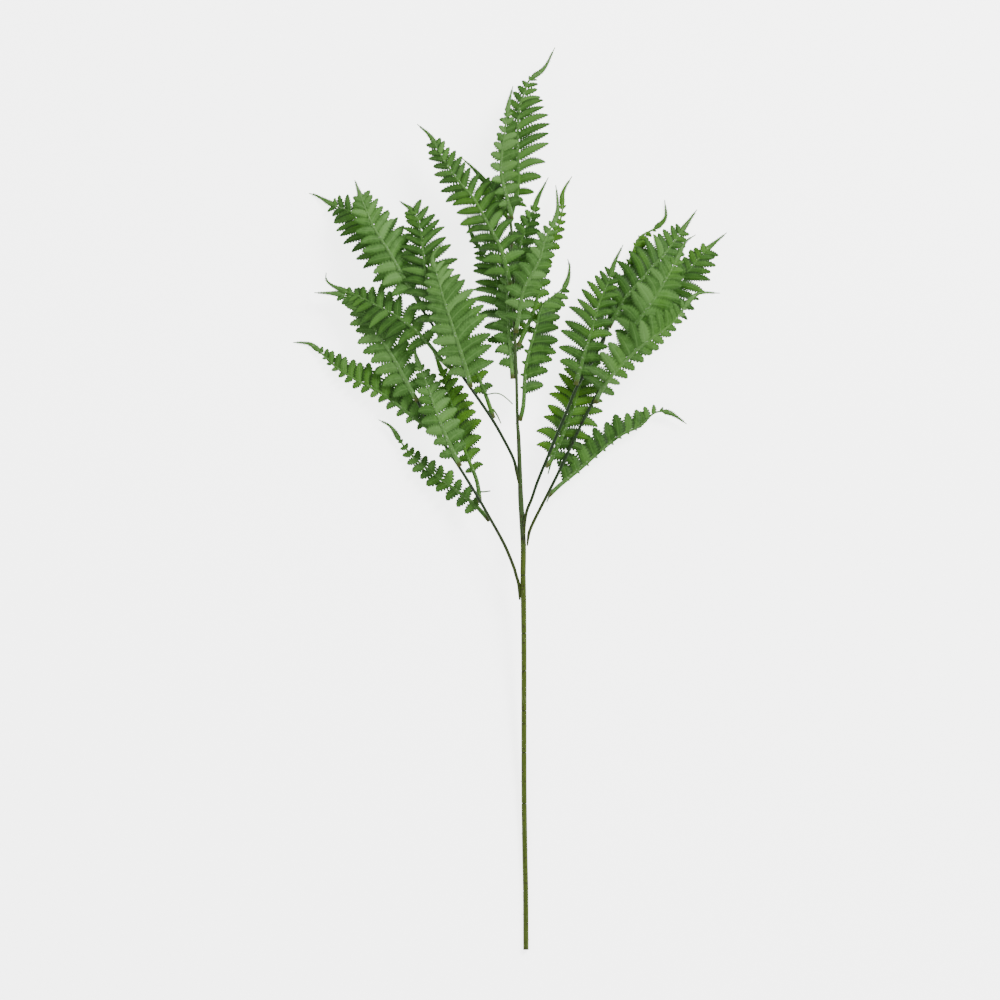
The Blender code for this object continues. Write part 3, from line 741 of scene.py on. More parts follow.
@dataclass(frozen=True)
class LeafletPattern:
    """Flat leaflet of unit length and half width, cut with forward pointing teeth.

    Its place holds the share along, the share across and the share of the thickness, and
    the tree of the frond turns these into a bent and cupped leaflet.  The teeth's notch,
    back and point stand at shares of their pitch, point_wide is the point's share of the
    outline and point_out how far it stands past that, and rib_back is how far the middle
    of a row lies behind its rim, since a tooth points towards the tip.
    """

    blade: Blade
    tooth_depth: float = 0.32
    notch_at: float = 0.15
    tooth_back: float = 0.22
    tooth_lean: float = 0.84
    bare_tip: float = 0.6
    back_wide: float = 0.95
    point_wide: float = 1.04
    point_out: float = 0.04
    rib_back: float = 0.02
    columns: tuple[float, ...] = (-1.0, -0.5, 0.0, 0.5, 1.0)
    outline: Table = (
        (0.0, 0.86), (0.1, 1.0), (0.25, 1.04), (0.45, 0.98), (0.65, 0.82), (0.82, 0.56),
        (0.93, 0.3), (1.0, 0.0),
    )
    tooth_rows: Table = ((0.0, 1.0), (0.5, 0.6))

    def rows(self) -> list[tuple[float, float]]:
        """Notch, back and point of each tooth.

        Returns:
            Share along and half width of every row.
        """
        teeth = self.blade.value
        if not teeth:
            return list(self.tooth_rows)
        pitch = 1.0 / (teeth + self.bare_tip)
        rows = [(0.0, self.outline[0][1] * (1.0 - self.tooth_depth))]
        for tooth in range(teeth):
            notch = pitch * (tooth + self.notch_at)
            back = notch + pitch * self.tooth_back
            point = notch + pitch * self.tooth_lean
            if tooth:
                rows.append((notch, blend(self.outline, notch) * (1.0 - self.tooth_depth)))
            rows.append((back, blend(self.outline, back) * self.back_wide))
            rows.append((point, blend(self.outline, point) * self.point_wide + self.point_out))
        return rows

    def build(self) -> bpy.types.Object:
        """Make the unit leaflet.

        Returns:
            Hidden object with a closed mesh that has the attribute blade.
        """
        places: list[Row] = []
        marks: list[Row] = []
        faces: list[tuple[int, ...]] = []
        sheets: dict[int, list[list[int]]] = {1: [], -1: []}
        last = len(self.columns) - 1
        for along, wide in self.rows():
            lines: dict[int, list[int]] = {1: [], -1: []}
            for column, across in enumerate(self.columns):
                rim = column in (0, last)
                u = along - (0.0 if rim else self.rib_back)
                for side, line in lines.items():
                    if rim and side < 0:
                        line.append(lines[1][column])
                        continue
                    places.append((max(u, 0.0), across * wide, 0.0 if rim else 0.5 * side))
                    marks.append((along, across, 0.0 if rim else float(side)))
                    line.append(len(places) - 1)
            for side, line in lines.items():
                sheets[side].append(line)
        places.append((1.0, 0.0, 0.0))
        marks.append((1.0, 0.0, 0.0))
        tip = len(places) - 1
        for side, sheet in sheets.items():
            for here, there in zip(sheet, sheet[1:]):
                for column in range(last):
                    face = (here[column], there[column], there[column + 1], here[column + 1])
                    faces.append(face[::side])
        for side, sheet in sheets.items():
            for column in range(last):
                faces.append((sheet[-1][column], tip, sheet[-1][column + 1])[::side])
        faces.append(tuple(sheets[1][0]) + tuple(reversed(sheets[-1][0][1:-1])))
        mesh = bpy.data.meshes.new("leaflet_" + self.blade.name.lower())
        mesh.from_pydata(places, [], faces)
        blade = mesh.attributes.new("blade", "FLOAT_VECTOR", "POINT")
        blade.data.foreach_set("vector", [value for mark in marks for value in mark])
        mesh.validate()
        rims = {line[column] for line in sheets[1] for column in (0, last)} | {tip}
        sharp = mesh.attributes.new("sharp_edge", "BOOLEAN", "EDGE")
        sharp.data.foreach_set("value", [set(edge.vertices) <= rims for edge in mesh.edges])
        return bpy.data.objects.new(mesh.name, mesh)


@dataclass
class BaseMesh:
    """Edges and loose points that a tree reads, with their attributes."""

    places: list[Vector] = field(default_factory=list)
    edges: list[tuple[int, int]] = field(default_factory=list)
    values: dict[str, list] = field(default_factory=dict)

    VECTORS = ("size", "limb", "work_form", "work_along", "work_across", "work_normal")
    KINDS = {
        "work_radius": ("FLOAT", 0.0),
        "flat": ("INT", Chain.NONE.value),
        "pattern": ("INT", 0),
        **dict.fromkeys(VECTORS, ("FLOAT_VECTOR", (0.0, 0.0, 0.0))),
    }
    THREAD_LIMB = (0.0, 0.0, 0.6)
    THREAD_STEPS = 4

    def point(self, place: Vector, **values: object) -> int:
        """Add a point.

        Args:
            place: Place in millimetres of the photograph.
            **values: Attribute values that differ from their usual ones.

        Returns:
            Number of the point.
        """
        self.places.append((place + SHEET_ORIGIN) * MM)
        for name, (_, usual) in self.KINDS.items():
            self.values.setdefault(name, []).append(values.get(name, usual))
        return len(self.places) - 1

    def chain(self, numbers: Sequence[int]) -> None:
        """Join points with edges, in order."""
        self.edges += list(zip(numbers, numbers[1:]))

    def thread(self, rows: Sequence[Row]) -> None:
        """Add a thin loose end of plastic.

        Args:
            rows: Points (x, y, height, radius) from its root to its end.
        """
        curve = Route([place_of(row) for row in rows], self.THREAD_STEPS)
        first, last = rows[0][3], rows[-1][3]
        self.chain([
            self.point(
                place, flat=Chain.TUBE.value, limb=self.THREAD_LIMB,
                work_radius=(first + (last - first) * mark / curve.length) * MM,
            )
            for place, mark in zip(curve.points, curve.marks)
        ])

    def mesh(self, name: str) -> bpy.types.Mesh:
        """Make the mesh with its attributes.

        Args:
            name: Name of the piece it is for.

        Returns:
            The mesh, which no object holds yet.
        """
        mesh = bpy.data.meshes.new(name + "_base")
        mesh.from_pydata([tuple(place) for place in self.places], self.edges, [])
        for label, (kind, _) in self.KINDS.items():
            made = mesh.attributes.new(label, kind, "POINT")
            if kind == "FLOAT_VECTOR":
                flat = [number for value in self.values[label] for number in value]
                made.data.foreach_set("vector", flat)
            else:
                made.data.foreach_set("value", self.values[label])
        return mesh


@dataclass(frozen=True)
class SleevedStem:
    """A wire in a plastic sleeve.

    route holds (x, y, height, radius) from the foot up, grooves the y of every gap
    between two lengths of sleeve, burrs the (side, y) of small moulding burrs, darkens
    the y where the sleeve turns dark and the y where it is fully so, sleeve_mm how far
    the loose sleeve stands off the bar of the route, and foot_taper the share of its
    radius that a branch has at a distance from its foot.  lip_reach is where a sleeve's
    lip ends, in lengths of the groove, and groove_stops are the rings across one.
    """

    name: str
    slot: Plastic
    route: tuple[Row, ...]
    grooves: Row = ()
    burrs: tuple[tuple[int, float], ...] = ()
    darkens: tuple[float, float] = (0.0, 1.0)
    foot_taper: Table = ((0.0, 1.0),)
    cut_end_mm: float = 0.0
    sleeve_mm: float = 0.5
    step_mm: float = 2.0
    groove_depth_mm: float = 0.5
    groove_length_mm: float = 1.5
    groove_dark: float = 0.6
    groove_dark_reach: float = 0.4
    groove_stops: Row = (-1.2, -0.8, -0.52, -0.3, 0.0, 0.3, 0.52, 0.8, 1.2)
    lip_mm: float = 0.12
    lip_reach: float = 1.2
    sides: int = 20
    burr_radius_mm: float = 0.55

    def value(self, y: float, column: int) -> float:
        """Number in a column of the route, where the stem passes a y."""
        return blend([(-row[1], row[column]) for row in self.route], -y)

    def mark(self, line: Route, y: float) -> float:
        """Distance from the foot at which the stem passes a y."""
        return line.nearest(Vector((self.value(y, 0), -y, self.value(y, 2))))

    def line(self) -> Route:
        """Centre line of the stem."""
        return Route([place_of(row) for row in self.route])

    def radius(self, y: float, distance: float, grooves: Sequence[float]) -> float:
        """Radius with the groove and the lips of the sleeves that end near a distance.

        Args:
            y: Height in the photograph.
            distance: Distance from the foot.
            grooves: Distances of the grooves.

        Returns:
            Radius in millimetres.
        """
        radius = (self.value(y, 3) + self.sleeve_mm) * blend(self.foot_taper, distance)
        for groove in grooves:
            gap = abs(distance - groove) / self.groove_length_mm
            if gap < 0.5:
                radius -= self.groove_depth_mm * (1.0 - 2.0 * gap) ** 0.5
            elif gap < self.lip_reach:
                radius += self.lip_mm * (self.lip_reach - gap)
        return radius

    def build(self, tree: GrowTree, finish: bpy.types.Material) -> bpy.types.Object:
        """Make the stem.

        Args:
            tree: Node tree of the stems.
            finish: Material of its sleeve.

        Returns:
            The finished piece.
        """
        line = self.line()
        base = BaseMesh()
        grooves = [self.mark(line, y) for y in self.grooves]
        count = round(line.length / self.step_mm)
        stops = {line.length * number / count for number in range(count + 1)}
        for groove in grooves:
            stops |= {groove + share * self.groove_length_mm for share in self.groove_stops}
        numbers = []
        reach = self.groove_dark_reach * self.groove_length_mm
        for stop in sorted(stops):
            place = line.at(stop)
            in_groove = any(abs(stop - groove) < reach for groove in grooves)
            dark = (self.darkens[0] + place.y) / (self.darkens[0] - self.darkens[1])
            radius = self.radius(-place.y, stop, grooves)
            # A round sleeve lies on the table, not in it.
            place.z = max(place.z, radius - SHEET_ORIGIN.z)
            limb = (float(stop < self.cut_end_mm), self.groove_dark * in_groove, min(max(dark, 0.0), 1.0))
            numbers.append(base.point(place, flat=Chain.TUBE.value, work_radius=radius * MM, limb=limb))
        base.chain(numbers)
        for side, y in self.burrs:
            mark = self.mark(line, y)
            _, right, _ = line.frame(mark)
            reach = self.value(y, 3) + self.sleeve_mm
            base.point(line.at(mark) + right * side * reach, flat=Chain.BURR.value)
        values = {"Sides": self.sides, "Burr Radius": self.burr_radius_mm * MM}
        piece = grown(self.name + "_sleeve", base.mesh(self.name), tree, values, finish)
        return placed(piece, self.name)


def placed(piece: bpy.types.Object, node: str) -> bpy.types.Object:
    """Let a piece stand for its CAD node and ride on the body.

    Args:
        piece: Finished piece.
        node: CAD node that it replaces.

    Returns:
        The piece.
    """
    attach(piece, "root")
    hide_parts(node)
    return piece


@dataclass(frozen=True)
class Habit:
    """How the leaflets of a kind of frond lie, as ranges of its seeded draws.

    width_share is the width against the room on the rib, feather_deg the slant of a slat,
    bow how far the blade arches forward between its root and its drooping tip, and droop
    how far the tip hangs down, both against the length.
    """

    width_share: tuple[float, float]
    feather_deg: tuple[float, float]
    bow: tuple[float, float]
    droop: tuple[float, float]
    twist_deg: float
    cup: float
    ripple_mm: float


HABITS = {
    # Broad leaflets that lie edge over edge, as in the fronds seen flat on.
    Plastic.LEAF_LIGHT: Habit((1.2, 1.36), (2.0, 9.0), (0.1, 0.65), (0.04, 0.1), 12.0, 0.2, 1.3),
    # Slimmer leaflets, turned like slats, with daylight between them.
    Plastic.LEAF_MID: Habit((1.06, 1.28), (3.0, 22.0), (0.05, 0.65), (0.04, 0.12), 20.0, 0.28, 1.4),
    Plastic.LEAF_DEEP: Habit((1.12, 1.34), (3.0, 20.0), (0.2, 0.95), (0.04, 0.12), 18.0, 0.28, 1.4),
}


@dataclass(frozen=True)
class MouldedFrond:
    """A frond moulded in one piece: a rib with a row of leaflets on each side.

    rib holds (x, y, height) from the foot to the tip.  left and right are the longest
    leaflets as they look from above.  A half that looks narrow is tilted, up for a lift
    above nought and down below it.  bare is the rib without leaflets at the foot, taper
    the narrow toothed tip, foot_share and tip_share shorten the end leaflets, threads are
    the routes of thin loose ends, and broad is how wide the leaflets are against those
    of other fronds with this finish.
    """

    name: str
    carrier: str
    slot: Plastic
    rib: tuple[Row, ...]
    left: float
    right: float
    left_lift: float = -0.3
    right_lift: float = -0.3
    ends_stem: bool = False
    bare: float = 9.0
    foot_share: float = 1.0
    tip_share: float = 0.36
    taper: float = 30.0
    threads: tuple[tuple[Row, ...], ...] = ()
    broad: float = 1.0

    # Sizes in mm, turns in degrees and shares that all fronds of this mould have.
    PITCH = 12.6
    PITCH_AT_TIP = 7.0
    CONTACT_GAP = 0.3
    COLLAR_WIDTH = 4.8
    COLLAR_FOOT = 0.8
    COLLAR_LENGTH = 6.0
    COLLAR_FADE = 2.0
    COLLAR_STEP = 0.5
    RIB_STEP = 2.0
    RIB_WIDTH = (4.8, 1.8)
    RIB_SIDES = 10
    RIB_HEIGHT_SHARE = 0.6
    RIB_END = 0.35
    ROOT_DEPTH = 0.4
    TIP_START = 2.0
    TIP_WIDTH = 5.6
    TIP_HEIGHT_SHARE = 0.16
    TIP_OUTLINE = ((0.0, 0.5), (0.12, 1.0), (0.33, 0.78), (0.5, 0.5), (0.7, 0.3), (1.0, 0.14))
    FEWEST_TIP_STEPS = 8
    # Tone of the tip, on the scale from painted shade to painted light, and the share of the rib's painted
    # highlight specks that it takes.
    TIP_TONE = 0.4
    TIP_LIMB = (0.25, 0.0, 0.0)
    TOOTH_PITCH = 1.6
    TOOTH_LENGTH = (1.8, 3.0)
    TOOTH_LOSS = 0.5
    TOOTH_HALF_WIDTH = 0.6
    TOOTH_TURN = (38.0, 58.0)
    TOOTH_ROOT = 0.7
    # Tone of the teeth, which paints them partly in shade.
    TOOTH_TONE = 0.25
    TOOTH_DROOP = 0.1
    TOOTHED_SHARE = 0.85
    THICKNESS = 0.55
    FULL_LENGTH = 33.0
    LENGTH_DRAW = (0.88, 1.06)
    WIDEST_SHARE = 0.5
    WIDEST_OWN_SHARE = 0.8
    MANY_TEETH = 15.5
    SOME_TEETH = 9.5
    STEEPEST = 24.0
    TILT_DRAW = 6.0
    SWEEP = (84.0, 52.0)
    SWEEP_DRAW = 5.0
    BOW_LOSS = 0.6
    PROFILE = ((0.0, 0.8), (0.2, 0.96), (0.42, 1.0), (0.65, 0.88))
    FOOT_PROFILE_END = 0.35
    NEAR_TIP = 0.86
    NEAR_TIP_SHARE = (0.36, 0.68)

    def foot(self, stems: dict[str, SleevedStem]) -> Vector:
        """First point of the rib, set a contact gap off the stem that carries it.

        Args:
            stems: All stems by name.

        Returns:
            Place in millimetres of the photograph.
        """
        stem = stems[self.carrier]
        line = stem.line()
        if self.ends_stem:
            return line.at(line.length) + line.frame(line.length)[0] * self.CONTACT_GAP * 2
        wanted = place_of(self.rib[0])
        mark = line.nearest(wanted)
        centre = line.at(mark)
        ahead = line.frame(mark)[0]
        off = wanted - centre
        off -= ahead * off.dot(ahead)
        clear = stem.value(-centre.y, 3) + stem.sleeve_mm + self.CONTACT_GAP
        clear += self.COLLAR_WIDTH * self.COLLAR_FOOT / 2
        return centre + off.normalized() * clear

    def leaflet_marks(self, line: Route) -> list[float]:
        """Set the leaflet pairs along the rib, closer together near the tip.

        Args:
            line: Route of the rib.

        Returns:
            Distance of the middle of every pair.
        """
        first = self.bare + self.PITCH / 2
        last = line.length - self.taper
        marks = [first]
        while True:
            share = (marks[-1] - first) / (last - first)
            step = self.PITCH + (self.PITCH_AT_TIP - self.PITCH) * share
            if marks[-1] + step > last:
                return marks
            marks.append(marks[-1] + step)

    def length_share(self, share: float) -> float:
        """Length of a leaflet against the longest one.

        Args:
            share: Place along the leafy stretch.

        Returns:
            Share of the longest leaflet's length.
        """
        least, gain = self.NEAR_TIP_SHARE
        near_tip = ((self.NEAR_TIP, least + gain * self.tip_share), (1.0, self.tip_share))
        near_foot = ((0.0, self.foot_share), (self.FOOT_PROFILE_END, 1.0), (1.0, 1.0))
        return blend(self.PROFILE + near_tip, share) * blend(near_foot, share)

    def rib_radius(self, line: Route, distance: float) -> float:
        """Half width of the rib at a distance from its foot."""
        share = distance / (line.length - self.taper)
        return blend(((0.0, self.RIB_WIDTH[0]), (1.0, self.RIB_WIDTH[1])), share) / 2

    def add_rib(self, base: BaseMesh, line: Route) -> None:
        """Add the rib's chain, thick at the collar and fading into the toothed tip.

        Args:
            base: Mesh that gets the chain.
            line: Route of the rib.
        """
        numbers = []
        stop = 0.0
        while stop < line.length - self.taper * self.RIB_END:
            radius = self.rib_radius(line, stop)
            collar = max(0.0, min(1.0, (self.COLLAR_LENGTH - stop) / self.COLLAR_FADE))
            if collar:
                at_foot = self.COLLAR_FOOT if stop < self.COLLAR_STEP else 1.0
                radius = max(radius, self.COLLAR_WIDTH / 2 * at_foot)
            numbers.append(base.point(
                line.at(stop), flat=Chain.TUBE.value, work_radius=radius * MM, limb=(1.0, collar, 0.0)
            ))
            stop += self.COLLAR_STEP if stop < 2 * self.COLLAR_STEP else self.RIB_STEP
        base.chain(numbers)

    def add_tip(self, base: BaseMesh, line: Route, start: float, draws: random.Random) -> None:
        """Add the flat toothed tip, which narrows to a bare spine.

        Args:
            base: Mesh that gets the chain.
            line: Route of the rib.
            start: Distance of the last leaflet.
            draws: Seeded draws of the frond.
        """
        numbers = []
        steps = max(self.FEWEST_TIP_STEPS, round((line.length - start) / self.TOOTH_PITCH))
        for step in range(steps + 1):
            share = step / steps
            stop = start + (line.length - start) * share
            half = self.TIP_WIDTH / 2 * blend(self.TIP_OUTLINE, share)
            numbers.append(base.point(
                line.at(stop), flat=Chain.TIP.value, work_radius=half * MM,
                size=(0.0, 0.0, self.TIP_TONE), limb=self.TIP_LIMB,
            ))
            if not step or share > self.TOOTHED_SHARE:
                continue
            ahead, right, up = line.frame(stop)
            for side in (-1, 1):
                long = draws.uniform(*self.TOOTH_LENGTH) * (1.0 - self.TOOTH_LOSS * share)
                turn = math.radians(draws.uniform(*self.TOOTH_TURN))
                along = ahead * math.cos(turn) + right * side * math.sin(turn)
                base.point(
                    line.at(stop) + right * side * half * self.TOOTH_ROOT,
                    pattern=Blade.TOOTH.number,
                    size=(long * MM, self.TOOTH_HALF_WIDTH * MM, self.TOOTH_TONE),
                    work_form=(0.0, self.TOOTH_DROOP, 0.0), work_along=tuple(along),
                    work_across=tuple(up.cross(along)), work_normal=tuple(up),
                )
        base.chain(numbers)

    def add_half(
        self, base: BaseMesh, line: Route, marks: list[float], half: Half, draws: random.Random
    ) -> None:
        """Add the roots of one row of leaflets.

        Args:
            base: Mesh that gets the points.
            line: Route of the rib.
            marks: Distances of the leaflets.
            half: Side of the rib.
            draws: Seeded draws of the frond.
        """
        side = half.value
        habit = HABITS[self.slot]
        seen, lift = {
            Half.LEFT: (self.left, self.left_lift), Half.RIGHT: (self.right, self.right_lift)
        }[half]
        flat_share = min(seen / self.FULL_LENGTH, 1.0)
        steady = min(math.acos(flat_share), math.radians(self.STEEPEST)) * lift
        full = seen / math.cos(steady)
        for number, mark in enumerate(marks):
            share = (mark - marks[0]) / (marks[-1] - marks[0])
            ahead, right, up = line.frame(mark)
            length = full * self.length_share(share) * draws.uniform(*self.LENGTH_DRAW)
            tilt = steady + math.radians(draws.uniform(-self.TILT_DRAW, self.TILT_DRAW))
            sweep = self.SWEEP[0] + (self.SWEEP[1] - self.SWEEP[0]) * share
            sweep = math.radians(sweep + draws.uniform(-self.SWEEP_DRAW, self.SWEEP_DRAW))
            outward = right * side * math.cos(tilt) + up * math.sin(tilt)
            normal = up * math.cos(tilt) - right * side * math.sin(tilt)
            along = ahead * math.cos(sweep) + outward * math.sin(sweep)
            across = normal.cross(along)
            # Each leaflet lies like a slat, its front edge under the next one's back edge.
            feather = Quaternion(along, math.radians(draws.uniform(*habit.feather_deg)) * side)
            here = marks[max(number - 1, 0) : number + 2]
            spacing = (here[-1] - here[0]) / (len(here) - 1)
            width = spacing * draws.uniform(*habit.width_share) * self.broad
            widest = self.FULL_LENGTH * self.length_share(share) * self.WIDEST_SHARE
            width = min(width, widest, length * self.WIDEST_OWN_SHARE)
            teeth = length / self.TOOTH_PITCH
            blade = Blade.MEDIUM if teeth > self.SOME_TEETH else Blade.SHORT
            if teeth > self.MANY_TEETH:
                blade = Blade.LONG
            base.point(
                line.at(mark) + right * side * self.rib_radius(line, mark) * self.ROOT_DEPTH,
                pattern=blade.number,
                # The leaflet's tone, drawn at random, sets how lit or shaded it is painted.
                size=(length * MM, width / 2 * MM, draws.random()),
                work_form=(
                    draws.uniform(*habit.bow) * (1.0 - self.BOW_LOSS * share) * side,
                    draws.uniform(*habit.droop),
                    math.radians(draws.uniform(-habit.twist_deg, habit.twist_deg)),
                ),
                work_along=tuple(along),
                work_across=tuple(feather @ across),
                work_normal=tuple(feather @ normal),
            )

    def build(
        self,
        stems: dict[str, SleevedStem],
        tree: GrowTree,
        leaflets: dict[Blade, bpy.types.Object],
        finish: bpy.types.Material,
        seed: int,
    ) -> bpy.types.Object:
        """Make the frond.

        Args:
            stems: All stems by name.
            tree: Node tree of the fronds.
            leaflets: Unit leaflets by pattern.
            finish: Material of its plastic.
            seed: Seed of its draws.

        Returns:
            The finished piece.
        """
        line = Route([self.foot(stems)] + [place_of(row) for row in self.rib[1:]])
        marks = self.leaflet_marks(line)
        draws = random.Random(seed)
        habit = HABITS[self.slot]
        base = BaseMesh()
        self.add_rib(base, line)
        self.add_tip(base, line, marks[-1] + self.TIP_START, draws)
        for half in Half:
            self.add_half(base, line, marks, half, draws)
        for thread in self.threads:
            base.thread(thread)
        values = {
            **{blade.label: leaflet for blade, leaflet in leaflets.items()},
            "Leaflet Thickness": self.THICKNESS * MM, "Leaflet Cup": habit.cup,
            "Edge Ripple": habit.ripple_mm * MM, "Ripple Seed": seed,
            "Rib Sides": self.RIB_SIDES, "Rib Height Share": self.RIB_HEIGHT_SHARE,
            "Tip Height Share": self.TIP_HEIGHT_SHARE,
        }
        piece = grown(self.name + "_leaf", base.mesh(self.name), tree, values, finish)
        return placed(piece, self.name)


FINISHES: tuple[PlasticFinish, ...] = (
    SleeveFinish(Plastic.SLEEVE_OLIVE, "#455419", "#303d09", "#5b6a3b", "#2e2e14", "#334623"),
    SleeveFinish(Plastic.SLEEVE_DARK, "#364317", "#242f0b", "#4b5929", "#14180a", "#1a2c13"),
    # Painted light and shade: the three leaf finishes are lit and shaded copies of one green.
    LeafFinish(
        Plastic.LEAF_LIGHT, "#466c30", "#33561e", "#587f40", "#668c4e", "#4a7a26", "#4a7a1c", 0.4,
        "#26460f", 0.7,
    ),
    LeafFinish(
        Plastic.LEAF_MID, "#3a5e22", "#264812", "#4a7230", "#587e3e", "#3a6a18", "#406c12", 0.5,
        "#122a05", 0.85,
    ),
    LeafFinish(
        Plastic.LEAF_DEEP, "#35591a", "#1f3f0a", "#436b22", "#4c7430", "#3a6a0e", "#467206", 0.8,
        "#0f2604", 0.9,
    ),
)

# Share of its full radius that a branch has at a distance, in mm, from its foot.
FOOT_TAPER = ((0, 0.4), (5, 0.75), (12, 1))

STEMS: tuple[SleevedStem, ...] = (
    SleevedStem(
        "main_stem", Plastic.SLEEVE_OLIVE,
        (
            (526, 951, 2.3, 2.3), (525.7, 892, 2.6, 2.3), (524.9, 851, 4, 2.3), (524.2, 800, 7, 2.3),
            (524, 753, 11, 2.3), (524, 671, 19, 2.3), (523.9, 640, 22.5, 2.3), (523.5, 598, 27, 2.4),
            (523.1, 575, 29.5, 2.4), (523.3, 544.6, 32.5, 2.4), (520.8, 500, 36.5, 2.3),
            (520, 477, 38.5, 1.9), (518.5, 437, 41, 1.6), (517.4, 421, 42, 1.15), (516.2, 370, 44, 1.1),
            (514, 317, 45, 1.1), (513.6, 285, 45, 1.1), (511.6, 254.6, 45, 1.05), (512, 237.7, 45, 1),
            (510.2, 220, 45, 1),
        ),
        (575, 634, 671, 709, 753, 803, 892),
        (
            (-1, 422.5), (-1, 653.8), (-1, 780.6), (-1, 833.7), (-1, 914.3), (1, 727.8), (1, 849.7),
            (1, 943.4),
        ),
        (556, 532), cut_end_mm=0.5,
    ),
    SleevedStem(
        "branch_left_low", Plastic.SLEEVE_DARK,
        (
            (519.6, 600, 27, 1.3), (518.9, 585.7, 28.5, 1.3), (516, 574.8, 30, 1.25),
            (513, 565, 31, 1.25), (504, 543.8, 32, 1.2), (489.8, 517.9, 33, 1.1),
            (475.3, 492.9, 33.5, 1.1), (456, 462, 33.5, 1.05), (437, 433.6, 32.5, 1),
            (427.4, 420.2, 31.5, 1), (417.8, 402, 30, 1),
        ),
        darkens=(585, 500), foot_taper=FOOT_TAPER,
    ),
    SleevedStem(
        "branch_left_high", Plastic.SLEEVE_DARK,
        (
            (518.6, 484, 41.2, 1.2), (516.6, 472, 42.6, 1.2), (513.3, 458.6, 44, 1.1),
            (503.9, 439.8, 45.5, 1.1), (493.2, 421, 46.5, 1.1), (479.8, 401, 47, 1.1),
            (463.8, 378.2, 47, 1.05), (450.4, 356.8, 46, 1.05), (433.6, 326.7, 43, 1),
            (422.8, 310.7, 40, 1), (412.9, 293.8, 37, 1),
        ),
        darkens=(484, 462), foot_taper=FOOT_TAPER,
    ),
    SleevedStem(
        "branch_right_inner", Plastic.SLEEVE_DARK,
        (
            (524.6, 543, 36.2, 1.2), (524.2, 528, 37.7, 1.2), (526.6, 511.6, 39, 1.15),
            (531.8, 498.4, 40, 1.1), (537.9, 480.5, 40.8, 1.1), (550.6, 449.9, 41.5, 1.1),
            (564.6, 416.7, 42, 1.05), (577.4, 386.1, 42, 1.05), (595, 356.2, 40.5, 1),
            (608.4, 328.4, 38, 1),
        ),
        darkens=(530, 490), foot_taper=FOOT_TAPER,
    ),
    SleevedStem(
        "branch_right_outer", Plastic.SLEEVE_DARK,
        (
            (527.4, 546, 31.4, 1.2), (528, 539.3, 31.8, 1.2), (529.6, 531, 32.2, 1.2),
            (535.4, 517.9, 32.8, 1.15), (548, 493.3, 33.2, 1.1), (562, 465.2, 33.2, 1.1),
            (581.2, 424.4, 32.5, 1.05), (595.3, 397.6, 32, 1.05), (610.5, 370, 33, 1),
            (620.9, 348.5, 36, 1),
        ),
        darkens=(530, 480), foot_taper=FOOT_TAPER,
    ),
)

